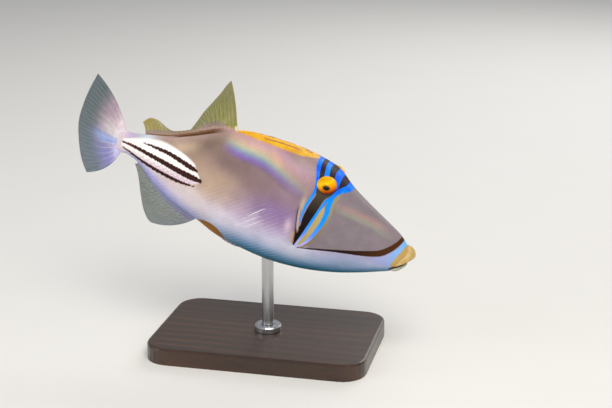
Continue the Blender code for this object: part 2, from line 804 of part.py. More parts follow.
# Stand
def add_base(parts):
    length, width, height = BASE_SIZE
    bm = bmesh.new()
    bmesh.ops.create_cube(bm, size=1.0)
    bmesh.ops.scale(bm, verts=bm.verts[:], vec=(length * MM, width * MM, height * MM))
    bmesh.ops.translate(bm, verts=bm.verts[:], vec=(0.0, 0.0, height * MM / 2.0))
    upright = [edge for edge in bm.edges if abs(edge.verts[0].co.z - edge.verts[1].co.z) > MM]
    bmesh.ops.bevel(
        bm, geom=upright, offset=BASE_CORNER * MM, segments=6,
        profile=0.5, affect="EDGES", material=-1)
    rim = [edge for edge in bm.edges if all(v.co.z > (height - 0.01) * MM for v in edge.verts)]
    bmesh.ops.bevel(
        bm, geom=rim, offset=BASE_EDGE * MM, segments=2,
        profile=0.5, affect="EDGES", material=-1)
    shade(object_from(bm, "stand_base", parts, "stained_wood"))


def add_rod(parts, grown_body):
    bottom = BASE_SIZE[2] + GAP
    bm = bmesh.new()
    bmesh.ops.create_cone(
        bm, cap_ends=True, segments=ROD_SIDES, radius1=ROD_RADIUS * MM, radius2=ROD_RADIUS * MM,
        depth=(ROD_TOP - bottom) * MM,
        matrix=Matrix.Translation((0.0, 0.0, (ROD_TOP + bottom) * MM / 2.0)))
    rod = object_from(bm, "stand_rod", parts, "brushed_steel")
    carve(rod, [grown_body])
    shade(rod)


def add_collar(parts):
    # A turned ring round the foot of the rod
    inner = ROD_RADIUS + GAP
    low = BASE_SIZE[2] + GAP
    high = low + COLLAR_HEIGHT
    outline = [
        (inner, high), (COLLAR_RADIUS - COLLAR_CHAMFER, high), (COLLAR_RADIUS, high - COLLAR_CHAMFER),
        (COLLAR_RADIUS, low), (inner, low),
    ]
    bm = bmesh.new()
    ring = [bm.verts.new((r * MM, 0.0, z * MM)) for r, z in outline]
    edges = [bm.edges.new((ring[i - 1], ring[i])) for i in range(len(ring))]
    bmesh.ops.spin(
        bm, geom=ring + edges, cent=(0.0, 0.0, 0.0), axis=(0.0, 0.0, 1.0),
        angle=math.tau, steps=COLLAR_SIDES, use_merge=True)
    shade(object_from(bm, "stand_collar", parts, "brushed_steel"))


def main():
    clear_scene()
    parts = new_collection("picasso_triggerfish")
    cutters = new_collection("cutters")
    pose = bpy.data.objects.new("fish_pose", None)
    parts.objects.link(pose)
    pose.location = Vector(FISH_PLACE) * MM
    pose.rotation_euler = (0.0, NOSE_DOWN, 0.0)
    fish = {"parts": parts, "cutters": cutters, "pose": pose}
    grown_body = as_cutter(object_from(body_blank(GAP), "grown_body", cutters, None, pose))

    head, trunk, stalk = cut_body(fish)
    add_head_details(fish, head, trunk)
    add_lips(fish, grown_body)
    add_spiny_dorsal(fish, trunk)
    add_soft_dorsal(fish)
    add_anal(fish)
    add_tail_fin(fish)
    add_pectorals(fish, grown_body)
    add_pelvic_spine(fish, grown_body)
    for piece in (head, trunk, stalk):
        shade(piece)

    add_base(parts)
    add_rod(parts, grown_body)
    add_collar(parts)


main()
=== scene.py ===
import math

import bmesh
import bpy
import numpy as np
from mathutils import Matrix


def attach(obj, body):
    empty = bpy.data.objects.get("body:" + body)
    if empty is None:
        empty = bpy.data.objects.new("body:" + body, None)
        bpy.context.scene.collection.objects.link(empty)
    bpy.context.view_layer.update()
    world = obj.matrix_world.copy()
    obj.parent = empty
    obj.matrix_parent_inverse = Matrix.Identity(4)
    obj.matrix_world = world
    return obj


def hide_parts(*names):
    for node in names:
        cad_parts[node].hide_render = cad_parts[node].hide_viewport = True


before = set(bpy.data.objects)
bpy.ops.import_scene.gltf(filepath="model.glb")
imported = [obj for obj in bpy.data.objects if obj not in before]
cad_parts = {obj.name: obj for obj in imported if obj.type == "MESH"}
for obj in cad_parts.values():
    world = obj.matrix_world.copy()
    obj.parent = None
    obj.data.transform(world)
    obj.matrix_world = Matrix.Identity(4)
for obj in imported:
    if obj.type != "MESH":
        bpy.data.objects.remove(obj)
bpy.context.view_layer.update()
mm = 0.001
print("frame loaded:", len(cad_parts), "nodes")

# Sizes are millimetres in the fish's own frame: x forward from the root of the tail fin, y to its left, z up
pose = {"noseDown": 15.6, "place": (-88.0, 0.0, 117.0), "bendStart": 50.0, "bend": 0.00245}


def toWorld(points):  # fish millimetres to metres in the frame, with the tail swung to the left
    x, y, z = np.asarray(points, float).T
    y = y + pose["bend"] * np.maximum(0.0, pose["bendStart"] - x) ** 2
    c, s = math.cos(math.radians(pose["noseDown"])), math.sin(math.radians(pose["noseDown"]))
    turned = np.stack((x * c + z * s, y, z * c - x * s), axis=1)
    return (turned + np.array(pose["place"])) * mm


def ease(t):
    t = np.clip(t, 0.0, 1.0)
    return t * t * (3.0 - 2.0 * t)


def unit(vector):
    vector = np.asarray(vector, float)
    return vector / np.maximum(np.linalg.norm(vector, axis=-1, keepdims=True), 1e-12)


def between(ends, share):  # the value a share of the way from the first end to the second
    return ends[0] + (ends[1] - ends[0]) * share


def closing(t, power):  # 1 along a piece, rounding down to 0 at both of its ends
    return np.sqrt(np.maximum(0.0, 1.0 - np.abs(2.0 * t - 1.0) ** power))


def curveThrough(points):  # a smooth function of x through (x, value) points
    xs, values = np.array(points, float).T
    low = np.maximum(np.arange(len(xs)) - 1, 0)
    high = np.minimum(np.arange(len(xs)) + 1, len(xs) - 1)
    slopes = (values[high] - values[low]) / (xs[high] - xs[low])

    def valueAt(x):
        x = np.clip(x, xs[0], xs[-1])
        i = np.clip(np.searchsorted(xs, x, side="right") - 1, 0, len(xs) - 2)
        span = xs[i + 1] - xs[i]
        t = (x - xs[i]) / span
        start = t * (1.0 - t) ** 2 * span * slopes[i]
        end = t * t * (1.0 - t) * span * slopes[i + 1]
        return values[i] + (values[i + 1] - values[i]) * ease(t) + start - end

    return valueAt


def smoothLine(points, samples=64):  # a smooth run of points through a few, any number of values each
    points = np.array(points, float)
    steps = np.linalg.norm(np.diff(points[:, :2], axis=0), axis=1)
    along = np.concatenate(([0.0], np.cumsum(steps)))
    at = np.linspace(0.0, along[-1], samples)
    return np.stack([curveThrough(np.stack((along, column), axis=1))(at) for column in points.T], axis=1)


def fromLine(x, z, line):  # distance, what the line carries there, and which side: above is positive
    away = np.full(x.shape, 1e9)
    carried = np.zeros(x.shape + (line.shape[1] - 1,))
    for k in range(len(line) - 1):
        start, end = line[k], line[k + 1]
        run = end[:2] - start[:2]
        share = ((x - start[0]) * run[0] + (z - start[1]) * run[1]) / max(run @ run, 1e-9)
        share = np.clip(share, 0.0, 1.0)
        dx = x - start[0] - share * run[0]
        dz = z - start[1] - share * run[1]
        reach = np.hypot(dx, dz)
        nearer = reach < away
        away = np.where(nearer, reach, away)
        values = start[2:] + share[..., None] * (end[2:] - start[2:])
        side = np.sign(run[0] * dz - run[1] * dx)[..., None]
        found = np.concatenate((values, side), axis=-1)
        carried = np.where(nearer[..., None], found, carried)
    return away, carried


# Colours and nodes
def linear(hexColour):  # sRGB hex to linear
    values = [int(hexColour[i:i + 2], 16) / 255.0 for i in (1, 3, 5)]
    return tuple(v / 12.92 if v <= 0.04045 else ((v + 0.055) / 1.055) ** 2.4 for v in values)


def rgba(hexColour):
    return (*linear(hexColour), 1.0)


def addNode(tree, kind, inputs=(), output=0, stops=None, **settings):  # adds a node and gives its output
    node = tree.nodes.new("ShaderNode" + kind)
    for name, value in settings.items():
        setattr(node, name, value)
    for key, value in inputs.items() if isinstance(inputs, dict) else enumerate(inputs):
        if isinstance(value, bpy.types.NodeSocket):
            tree.links.new(value, node.inputs[key])
        else:
            node.inputs[key].default_value = value
    if stops:  # the colours of a ramp
        elements = node.color_ramp.elements
        elements[0].position, elements[1].position = stops[0][0], stops[-1][0]
        for position, colour in stops[1:-1]:
            elements.new(position)
        for element, (position, colour) in zip(elements, stops):
            element.color = rgba(colour)
    return node.outputs[output]


def newMaterial(name, *attributes, **values):  # a Principled material and the mesh attributes that it reads
    material = bpy.data.materials.new(name)
    material.use_nodes = True
    tree = material.node_tree
    shader = tree.nodes["Principled BSDF"]
    for key, value in values.items():
        shader.inputs[key.replace("_", " ")].default_value = value
    fields = {key: addNode(tree, "Attribute", output="Fac", attribute_name=key) for key in attributes}
    return material, tree, shader, fields


def grain(tree, size, detail=3.0, roughness=0.55, stretch=None):  # grains of a given size in millimetres
    place = addNode(tree, "TexCoord", output="Object")
    if stretch:
        place = addNode(tree, "Mapping", {"Vector": place, "Scale": stretch})
    inputs = {"Vector": place, "Scale": 1.0 / (size * mm), "Detail": detail, "Roughness": roughness}
    return addNode(tree, "TexNoise", inputs)


def shareOf(tree, fields, strength, windows):  # a strength times each window
    # A window is a field as it is, or with the two values that it rises smoothly between,
    # from 0 to 1 or as given
    share = strength
    for field, *ends in windows:
        step = fields[field]
        if ends:
            step = addNode(tree, "MapRange", (step, *ends), interpolation_type="SMOOTHSTEP")
        share = step if share == 1.0 else addNode(tree, "Math", (share, step), operation="MULTIPLY")
    return share


def painted(tree, fields, paint):
    # Paint is a colour, a field, or a list: what lies under, then (paint, strength, windows) for what lies over
    if isinstance(paint, str):
        return fields[paint] if paint in fields else rgba(paint)
    colour = painted(tree, fields, paint[0])
    for over, strength, *windows in paint[1:]:
        mixed = {0: shareOf(tree, fields, strength, windows), 6: colour, 7: painted(tree, fields, over)}
        colour = addNode(tree, "Mix", mixed, 2, data_type="RGBA")
    return colour


def finishMaterial(tree, shader, colour, relief, strength, depth):  # colour, and relief in millimetres
    tree.links.new(colour, shader.inputs["Base Color"])
    bump = addNode(tree, "Bump", {"Strength": strength, "Distance": depth * mm, "Height": relief})
    tree.links.new(bump, shader.inputs["Normal"])


# Meshes
def finishObject(bm, name, material):
    mesh = bpy.data.meshes.new(name)
    bm.to_mesh(mesh)
    bm.free()
    piece = bpy.data.objects.new(name, mesh)
    bpy.context.scene.collection.objects.link(piece)
    mesh.materials.append(material)
    return piece


def readPoints(mesh):
    flat = np.zeros(len(mesh.vertices) * 3)
    mesh.vertices.foreach_get("co", flat)
    return flat.reshape(-1, 3)


def placePoints(piece, points):  # moves the mesh to fish points and turns its faces outwards
    mesh = piece.data
    mesh.vertices.foreach_set("co", toWorld(points).ravel())
    mesh.update()
    bm = bmesh.new()
    bm.from_mesh(mesh)
    bmesh.ops.recalc_face_normals(bm, faces=bm.faces[:])
    if bm.calc_volume(signed=True) < 0.0:
        bmesh.ops.reverse_faces(bm, faces=bm.faces[:])
    for face in bm.faces:
        face.smooth = True
    bm.to_mesh(mesh)
    bm.free()


def keepValue(piece, name, values):
    attribute = piece.data.attributes.new(name, "FLOAT", "POINT")
    attribute.data.foreach_set("value", np.ascontiguousarray(values, float).ravel())


def keepVector(piece, name, values):
    attribute = piece.data.attributes.new(name, "FLOAT_VECTOR", "POINT")
    attribute.data.foreach_set("vector", np.ascontiguousarray(values, float).ravel())


def keepColour(piece, name, colours):
    attribute = piece.data.color_attributes.new(name, "FLOAT_COLOR", "POINT")
    attribute.data.foreach_set("color", np.concatenate((colours, np.ones((len(colours), 1))), axis=1).ravel())


def spherePiece(name, rings, segments, material):  # a sphere, to be moved point by point
    bm = bmesh.new()
    bmesh.ops.create_uvsphere(bm, u_segments=segments, v_segments=rings, radius=1.0)
    piece = finishObject(bm, name, material)
    points = readPoints(piece.data)
    t = np.arccos(np.clip(points[:, 2], -1.0, 1.0)) / math.pi
    angle = np.arctan2(points[:, 1], points[:, 0])
    return piece, t, angle


# Body shape, the same stations as the solids
body = {
    "stations": [  # x, top, bottom, half width, squareness above the widest level
        (-9.0, 10.6, -8.4, 2.2, 2.1), (-1.5, 8.3, -5.5, 3.4, 2.1), (4.0, 8.8, -4.7, 4.1, 2.1),
        (14.0, 11.6, -8.0, 5.5, 2.1), (27.0, 15.5, -16.6, 7.4, 2.1), (41.0, 21.9, -23.0, 9.8, 2.1),
        (55.0, 28.9, -26.9, 12.5, 2.1), (69.0, 33.4, -31.9, 15.0, 2.1), (84.0, 34.9, -34.3, 16.9, 2.1),
        (100.0, 35.0, -35.6, 17.8, 2.2), (113.0, 33.2, -35.2, 17.4, 2.45), (127.0, 27.6, -33.4, 16.0, 2.8),
        (142.0, 19.4, -29.8, 13.6, 2.45), (156.0, 12.3, -24.9, 10.8, 2.2), (168.0, 6.3, -19.9, 8.1, 2.15),
        (178.0, 0.8, -15.8, 6.2, 2.15),
    ],
    "widestLevel": 0.46, "lowerSquareness": 2.15,
    "noseStart": 168.0, "noseTip": 179.8, "noseLevel": -7.2, "nosePower": 2.8,
    "tailEnd": -8.0, "tailTaper": 0.97,  # behind the stalk the flesh thins into the tail fin
    "tailLowers": 0.45, "lowersFrom": -1.0, "lowersOver": 6.0,
}
topAt, bottomAt, widthAt, squarenessAt = [
    curveThrough([(station[0], station[k]) for station in body["stations"]]) for k in range(1, 5)]


def section(x):
    top, bottom, half = topAt(x), bottomAt(x), widthAt(x)
    along = np.clip((x - body["noseStart"]) / (body["noseTip"] - body["noseStart"]), 0.0, 1.0)
    close = (1.0 - along ** body["nosePower"]) ** (1.0 / body["nosePower"])
    level = body["noseLevel"]
    top = level + (top - level) * close
    bottom = level + (bottom - level) * close
    half = half * close * (1.0 - body["tailTaper"] * ease(x / body["tailEnd"]))
    middle = bottom + (top - bottom) * body["widestLevel"]
    low = 1.0 - body["tailLowers"] * ease((body["lowersFrom"] - x) / body["lowersOver"])
    return middle + (top - middle) * low, middle + (bottom - middle) * low, half, middle


def skinWidth(x, z):  # half width of the body at height z
    top, bottom, half, middle = section(x)
    reach = np.where(z > middle, top - middle, middle - bottom)
    power = np.where(z > middle, squarenessAt(x), body["lowerSquareness"])
    level = np.clip(np.abs(z - middle) / np.maximum(reach, 1e-6), 0.0, 1.0)
    return half * (1.0 - level ** power) ** (1.0 / power)


eye = {
    "x": 124.3, "z": 22.8, "radius": 6.0, "standsOut": 3.2, "flatness": 0.87, "facing": (0.24, 0.96, 0.12),
    "gaze": (0.17, 0.97, 0.02), "corneaRise": 0.45, "corneaSpread": 0.22,
    "pupil": 1.55, "iris": 5.2, "pupilShape": (0.76, 0.76, 1.24), "pupilReach": 3.2,  # wider than tall
    "lit": (-0.5, 0.0, 0.87), "spokes": (7.0, 0.25), "behind": 9.0, "rings": 72, "segments": 96,
    # the iris ramp runs toward the light, given by lit, so it carries painted shade on the front and lower side
    "irisStops": [
        (0.0, "#8a2a04"), (0.14, "#b84804"), (0.34, "#ec7a00"), (0.56, "#ffa800"), (0.8, "#ffcc00"),
        (1.0, "#e0a800")],
    # painted shade at the edge away from the light, and a painted greenish reflection on the lit side of the
    # pupil
    "paint": [
        "iris", ("#b85806", 0.35, ("streak", 0.45, 0.75)), ("#8a4606", 0.65, ("fromPupil", 1.2, 0.1)),
        ("#1c1410", 1.0, ("up", -0.88, -1.0)),
        (["#070a08", ("#2a3f33", 1.0, ("up", -0.2, 0.4))], 1.0, ("fromPupil", 0.14, -0.1))],
}
orbit = {"way": (0.2, 0.74, 0.64), "rise": 2.3, "spread": 8.5, "fade": 4.0}
brow = {"x": 124.5, "reach": (8.5, 8.0), "rise": 1.2, "fade": 12.0}


def orbitSwell(points):  # the low dome of skin round each eye
    side = np.where(points[..., 1] < 0.0, -1.0, 1.0)
    mirrored = points.copy()
    mirrored[..., 1] *= side
    centre = np.array((eye["x"], float(skinWidth(eye["x"], eye["z"])), eye["z"]))
    near = np.exp(-np.sum((mirrored - centre) ** 2, axis=-1) / orbit["spread"] ** 2)
    near = near * ease(np.abs(points[..., 1]) / orbit["fade"])
    move = near[..., None] * unit(orbit["way"]) * orbit["rise"]
    move[..., 1] *= side
    return move


def browSwell(points):  # the forehead fills out between the eyes
    along = (points[..., 0] - brow["x"]) / brow["reach"][0]
    across = points[..., 1] / brow["reach"][1]
    move = np.zeros(points.shape)
    move[..., 2] = brow["rise"] * np.exp(-along ** 2 - across ** 2) * ease(points[..., 2] / brow["fade"])
    return move


def skinPoints(x, angle):
    top, bottom, half, middle = section(x)
    sine, cosine = np.sin(angle), np.cos(angle)
    above = sine > 0.0
    power = 2.0 / np.where(above, squarenessAt(x), body["lowerSquareness"])
    across = np.sign(cosine) * np.abs(cosine) ** power
    up = np.sign(sine) * np.abs(sine) ** power
    reach = np.where(above, top - middle, middle - bottom)
    points = np.stack(np.broadcast_arrays(x, half * across, middle + reach * up), axis=-1)
    return points + orbitSwell(points) + browSwell(points)


def eyeAxes(side):  # which way the eye faces, and the two ways across it
    axis = unit(np.array(eye["facing"]) * (1.0, side, 1.0))
    across = unit(np.cross((0.0, 0.0, 1.0), axis))
    return axis, across, np.cross(axis, across)


def eyeCentre(side):
    sunk = eye["radius"] - eye["standsOut"] - orbit["rise"]
    surface = np.array((eye["x"], float(skinWidth(eye["x"], eye["z"])), eye["z"]))
    centre = surface - unit(orbit["way"]) * sunk
    return centre * np.array((1.0, side, 1.0))


# Markings on the flank, each point (x, z) or (x, z, half width)
marks = {
    "yellowHalf": [  # x and how far from the midline the yellow of the back reaches
        (60.0, -4.0), (64.0, 0.6), (70.0, 3.6), (77.0, 5.2), (86.0, 6.3), (96.0, 7.0), (105.0, 6.8),
        (110.8, 5.2), (114.0, 2.8), (117.5, -4.0)],
    "blueRear": [
        (115.8, 34.0, 1.3), (116.6, 30.6, 1.25), (118.0, 26.6, 0.95), (119.2, 22.0, 0.7), (119.2, 17.0, 0.8),
        (118.3, 13.2, 0.85), (116.9, 8.6, 0.7), (116.3, 2.3, 0.5), (116.1, -2.0, 0.2)],
    "blueSecond": [(121.2, 32.5, 1.25), (122.2, 29.4, 1.2), (122.9, 27.4, 1.4), (123.4, 24.0, 1.5)],
    "blueThird": [(128.4, 29.5, 1.7), (129.1, 27.0, 1.65), (129.5, 25.4, 1.4), (129.9, 23.0, 1.1)],
    "blueFourth": [
        (137.2, 23.4, 2.3), (135.4, 22.2, 1.7), (133.3, 21.6, 1.4), (131.4, 20.1, 1.35), (129.9, 17.7, 1.1),
        (129.0, 16.0, 1.0)],
    "blueFront": [
        (129.6, 17.8, 0.9), (126.9, 14.4, 0.75), (124.9, 8.7, 0.7), (122.9, 2.0, 0.8), (121.0, -4.8, 0.85),
        (119.0, -11.2, 0.75), (117.0, -16.2, 0.5)],
    "blueOuter": [
        (129.7, 17.0, 1.2), (129.1, 12.0, 1.35), (129.2, 7.1, 1.35), (128.3, 1.5, 1.3), (126.2, -4.9, 1.15),
        (123.9, -10.3, 1.0), (120.3, -15.2, 0.6), (117.4, -17.1, 0.35)],
    "mustard": [
        (132.6, 18.2, 1.0), (131.1, 13.2, 0.85), (131.4, 8.1, 0.8), (130.4, 2.0, 0.75), (128.4, -4.1, 0.75),
        (125.7, -10.1, 0.7), (121.7, -15.4, 0.5), (118.5, -17.5, 0.3)],
    "headBlack": [
        (116.8, 36.0), (117.4, 31.4), (118.9, 26.4), (119.6, 21.6), (120.4, 17.0), (126.0, 16.0),
        (129.2, 18.2), (131.3, 21.0), (133.2, 22.6), (135.6, 23.8), (136.2, 26.0), (134.0, 34.0)],
    "cheekBlack": [
        (119.9, 20.0), (120.9, 17.4), (119.4, 12.4), (117.7, 5.7), (117.0, 0.2), (117.2, -5.8),
        (116.4, -12.0), (116.1, -16.6), (118.9, -11.1), (120.6, -4.8), (122.4, 1.9), (124.1, 8.7),
        (125.9, 15.2), (128.6, 18.6), (125.0, 21.0)],
    "gillBlack": [
        (114.9, -6.0), (115.5, -10.6), (115.8, -17.2), (117.2, -15.0), (118.2, -11.3), (117.8, -7.4),
        (117.2, -4.0)],
    "gillFlap": [
        (113.6, 5.8), (114.1, 6.0), (114.9, 2.6), (115.7, -2.2), (116.7, -7.0), (116.2, -8.8), (115.1, -5.8),
        (114.1, 0.0)],
    "gillLobe": [(113.3, -8.2), (114.8, -8.0), (115.3, -12.0), (115.6, -16.8), (114.4, -14.6), (113.4, -11.6)],
    "wedge": [
        (127.3, 11.6), (127.8, 6.7), (127.0, 1.1), (125.0, -5.2), (122.8, -10.5), (119.6, -15.4),
        (118.0, -15.6), (119.4, -11.7), (121.2, -7.0), (123.0, -0.1), (124.5, 4.9), (126.2, 10.0)],
    "mouthBrown": [
        (118.5, -17.4, 0.25), (127.0, -15.5, 0.5), (137.3, -13.2, 0.7), (145.0, -11.7, 1.0),
        (154.5, -9.8, 1.55), (163.7, -7.2, 1.85), (168.4, -3.7, 1.7), (172.0, 0.4, 1.35), (174.0, 3.4, 1.2)],
    "sky": [
        (160.0, -11.4), (165.0, -9.2), (169.0, -5.6), (172.9, -1.2), (175.4, 3.0), (181.0, 4.0),
        (181.0, -12.0), (172.0, -14.0), (164.0, -14.0)],
    "stripeUpper": [
        (12.6, 7.2, 0.15), (17.0, 7.6, 0.45), (21.9, 7.8, 0.8), (30.9, 7.8, 1.1), (40.8, 6.5, 1.35),
        (46.0, 5.6, 1.35), (50.0, 5.1, 0.8)],
    "stripeMiddle": [
        (-1.2, 2.5, 0.4), (5.0, 2.9, 0.8), (11.8, 2.8, 1.0), (25.9, 1.9, 1.35), (39.9, 0.7, 1.65),
        (48.0, 0.3, 1.7), (53.6, 0.2, 1.1)],
    "stripeLower": [
        (0.2, -0.6, 0.35), (6.0, -1.7, 0.65), (14.0, -3.3, 0.9), (27.9, -4.7, 1.05), (38.0, -5.2, 1.0),
        (44.0, -5.1, 0.75), (50.5, -4.3, 0.3)],
    "tailWhite": [
        (-1.0, 4.4), (8.4, 8.2), (19.1, 11.4), (27.3, 12.4), (36.1, 11.7), (43.6, 10.0), (47.6, 8.0),
        (50.0, 5.0), (52.8, 1.4), (52.6, -1.6), (48.4, -4.0), (41.1, -4.9), (28.5, -4.6), (15.1, -3.1),
        (6.0, -1.8), (-1.0, -0.6)],
    "ventOchre": [
        (55.2, -25.8), (58.4, -23.8), (62.0, -22.9), (66.0, -23.1), (69.6, -24.5), (72.6, -26.9), (74.8, -30.0),
        (74.8, -34.0), (74.0, -40.0), (56.4, -40.0)],
    "ventBlack": [
        (54.0, -27.2, 0.5), (58.0, -27.6, 0.7), (62.0, -28.6, 0.8), (66.0, -30.2, 0.8), (69.6, -32.6, 0.8),
        (73.0, -32.8, 0.9)],
    "lipTan": [
        (176.2, -0.8), (174.2, -5.2), (172.4, -9.6), (171.6, -12.6), (173.0, -15.0), (184.0, -15.0),
        (184.0, 0.6)],
}
mouthLine = {"x": 176.5, "z": -11.6, "slope": 39.0, "half": 0.65, "rear": 171.2}  # the line that parts the lips
backLine = {"range": (82.0, 104.0), "off": 3.2, "half": 0.5, "fade": 8.0}  # beside the yellow of the back
paintedMarks = {  # what each paint covers
    "blue": ["blueRear", "blueSecond", "blueThird", "blueFourth", "blueFront", "blueOuter"],
    "black": ["headBlack", "cheekBlack", "gillBlack"], "wedge": ["wedge"], "mustard": ["mustard"],
    "brown": ["mouthBrown"], "sky": ["sky"], "tailWhite": ["tailWhite"],
    "stripe": ["stripeUpper", "stripeMiddle", "stripeLower"], "ventOchre": ["ventOchre"],
    "ventBlack": ["ventBlack"], "lipTan": ["lipTan"], "flap": ["gillFlap"], "lobe": ["gillLobe"],
}
farOff = -9.0  # what a mark's field says far outside it


def insideMark(x, z, name):  # millimetres inside: points with a half width make a band, others a closed outline
    points = marks[name]
    if len(points[0]) == 3:
        away, carried = fromLine(x, z, smoothLine(points))
        return carried[..., 0] - away
    ring = smoothLine(points + points[:1], 90)
    ring[-1] = ring[0]
    away, carried = fromLine(x, z, ring)
    inside = np.zeros(x.shape, bool)
    for (x0, z0), (x1, z1) in zip(ring[:-1], ring[1:]):
        crosses = (z0 > z) != (z1 > z)
        at = x0 + (z - z0) * (x1 - x0) / (z1 - z0 + (1e-9 if z1 == z0 else 0.0))
        inside ^= crosses & (x < at)
    return np.where(inside, away, -away)


# Skin
skin = {
    "rings": 340, "segments": 276,
    "crowding": [(124.0, 13.0, 0.9), (174.0, 9.0, 0.9)],  # rings lie closer here: x, spread, gain
    "evenTip": 4.0,  # so far in front of the start of the nose the rings close it evenly
    "scalePitch": 2.1, "scaleLean": 50.0, "scaleRise": 0.075, "scalePower": 0.6,
    "finer": (122.0, 20.0, 0.75), "bare": (164.0, 8.0),  # scales get finer, then end: from, over, how much
    "plates": (107.5, 0.5, 6.5, 5.0), "plateRise": 0.16, "platePower": 0.5,
    "gillLine": [(113.0, 7.6), (113.5, 1.6), (114.3, -3.6), (115.2, -9.0), (115.9, -16.8)],
    "gillEnds": (8.6, -18.4, 3.0), "gillDepth": 1.0, "gillHalfWidth": 0.45,
    "gillFlap": 0.4, "flapBehind": 1.9, "flapWidth": 1.0,
    "groove": (64.6, 112.4, 1.9, 1.7), "grooveFade": 3.0, "grooveWall": 1.35,
    "finBase": 0.5, "finBaseWidth": 1.7, "finBaseFade": (5.0, 3.0),
    "finBases": [(8.0, 65.0, 1.0), (10.0, 55.0, -1.0)],
    "lidRadius": 5.2, "lidRise": 0.4, "lidWidth": 0.65, "lidOut": 0.5, "lidDark": 0.35,
    "socketDepth": 1.6, "socketIn": 0.2, "socketFade": 0.9,
    "nostrils": [(133.2, 21.0, 0.75), (135.4, 20.2, 0.55)],
    "nostrilRim": (0.22, 1.45, 0.5), "nostrilHole": (0.7, 1.25),
    "pectoralPad": (112.2, -8.6, 2.6, 7.0, 0.9),
}
upperRamp = [  # colour by level from belly (0) to back (1), front of the fish; the dark teal at the lowest levels is painted shade along the belly's edge
    (0.0, "#07465a"), (0.05, "#1c6a84"), (0.11, "#6492b6"), (0.18, "#a9b9d8"), (0.26, "#cfcae2"),
    (0.37, "#b8a3c2"), (0.48, "#9a83a3"), (0.6, "#917b84"), (0.8, "#927c7e"), (1.0, "#978079")]
rearRamp = [  # behind the middle; the darker blue at the lowest levels is painted shade along the belly's edge
    (0.0, "#7688b8"), (0.09, "#a3a8d4"), (0.22, "#ddd2e0"), (0.34, "#dccac8"), (0.48, "#c4aa97"),
    (0.68, "#a68d7c"), (0.86, "#9c8475"), (1.0, "#b09890")]
snoutColour = "#857a80"
washes = [  # x, z, reach along, reach across, lean, colour, strength
    (103.0, -2.0, 12.0, 9.0, -14.0, "#8a6c9f", 0.75),
    (108.0, 12.0, 9.0, 8.0, 0.0, "#96818f", 0.5),
    (80.0, 14.0, 17.0, 7.0, -8.0, "#7d6869", 0.75),
    (66.0, 3.0, 15.0, 9.0, -16.0, "#b9a08c", 0.75),
    # painted shade on the body below the soft dorsal fin's base
    (52.0, 21.4, 13.0, 4.2, 30.0, "#655346", 0.75),
    (66.0, 17.6, 12.0, 6.0, 0.0, "#745f5f", 0.7),
    (38.0, 14.2, 9.0, 3.2, 26.0, "#cdb59c", 0.75),
    (58.0, -3.0, 9.0, 6.0, -20.0, "#bfa690", 0.7),
    (52.0, -13.0, 16.0, 6.0, -28.0, "#ded2d3", 0.8),
    (76.0, -16.0, 13.0, 4.5, -14.0, "#e0d8e4", 0.6),
    (92.2, 28.2, 4.8, 2.0, -45.0, "#dca074", 0.8),
    (96.0, 31.4, 5.0, 2.6, -30.0, "#a4708c", 0.75),
    (110.0, 25.0, 8.0, 5.0, -20.0, "#b898aa", 0.6),
    (114.9, 9.6, 1.5, 5.4, 0.0, "#cfc0a0", 0.7),
    # pale pink spot on the pectoral fin's fleshy base, partly its own colour and partly a painted highlight
    (110.4, -6.0, 2.2, 4.0, 0.0, "#e6cfd2", 0.7),
    (106.0, -18.5, 9.0, 4.0, 0.0, "#dcd8ec", 0.6),
    (117.0, -20.0, 11.0, 5.0, 0.0, "#e0e2f0", 0.7),
    (2.0, 8.0, 7.0, 3.0, 0.0, "#b7a8e0", 0.7),
    (13.0, 10.5, 7.0, 2.6, 12.0, "#ccd9e6", 0.85),
    (-4.0, 1.0, 6.0, 12.0, 0.0, "#efdce2", 0.95),
    (24.0, -10.5, 14.0, 3.2, -26.0, "#a7a5df", 0.75),
    (148.0, -17.0, 20.0, 6.0, 12.0, "#94a6c8", 0.75),
]
backSheen = {  # painted sheen: pearly reflected colours high on the flank, violet below, then blue, green and pink
    "line": [
        (56.0, 27.0), (62.8, 26.4), (73.4, 25.5), (80.1, 25.3), (86.0, 24.8), (91.0, 23.6), (96.6, 21.7),
        (102.7, 19.4), (112.0, 16.0)],
    "stops": [
        (-7.0, "#7c676a"), (-4.8, "#7b6680"), (-3.2, "#8068b0"), (-1.7, "#827eb8"), (-0.5, "#8a9cb4"),
        (0.5, "#9fb0a8"), (1.7, "#bdbda2"), (3.0, "#ccb49c"), (4.8, "#cfa8a0"), (7.4, "#c09aa8"),
        (11.0, "#a08890")],
    "strength": [
        (59.0, 0.0), (68.0, 0.75), (84.0, 0.8), (94.0, 0.62), (104.0, 0.4), (116.0, 0.12), (120.0, 0.0)],
}
# painted sheen on the cheek: greenish below its line, pinkish above
cheekSheen = {
    "line": [(130.0, 13.6), (136.0, 11.6), (148.0, 9.4), (160.0, 6.2), (168.0, 3.2)],
    "stops": [(-3.6, "#8f7d82"), (-1.4, "#93a08c"), (0.2, "#ab9a86"), (2.0, "#b48c88"), (4.2, "#8f7d82")],
    "strength": [(129.0, 0.0), (135.0, 0.4), (156.0, 0.5), (168.0, 0.1)],
}
tones = {  # where one tone passes into the next: from, over
    "rear": (92.0, 44.0), "snout": (119.0, 5.0), "noWash": (122.0, 4.0), "sheenFade": 2.5,
}


def colourRun(value, stops):  # linear colours between stops
    at = [stop[0] for stop in stops]
    colours = np.array([linear(stop[1]) for stop in stops])
    return np.stack([np.interp(value, at, colours[:, k]) for k in range(3)], axis=-1)


def onward(x, ramp):  # 0 to 1, starting at the ramp's first value and over its second
    return ease((x - ramp[0]) / ramp[1])


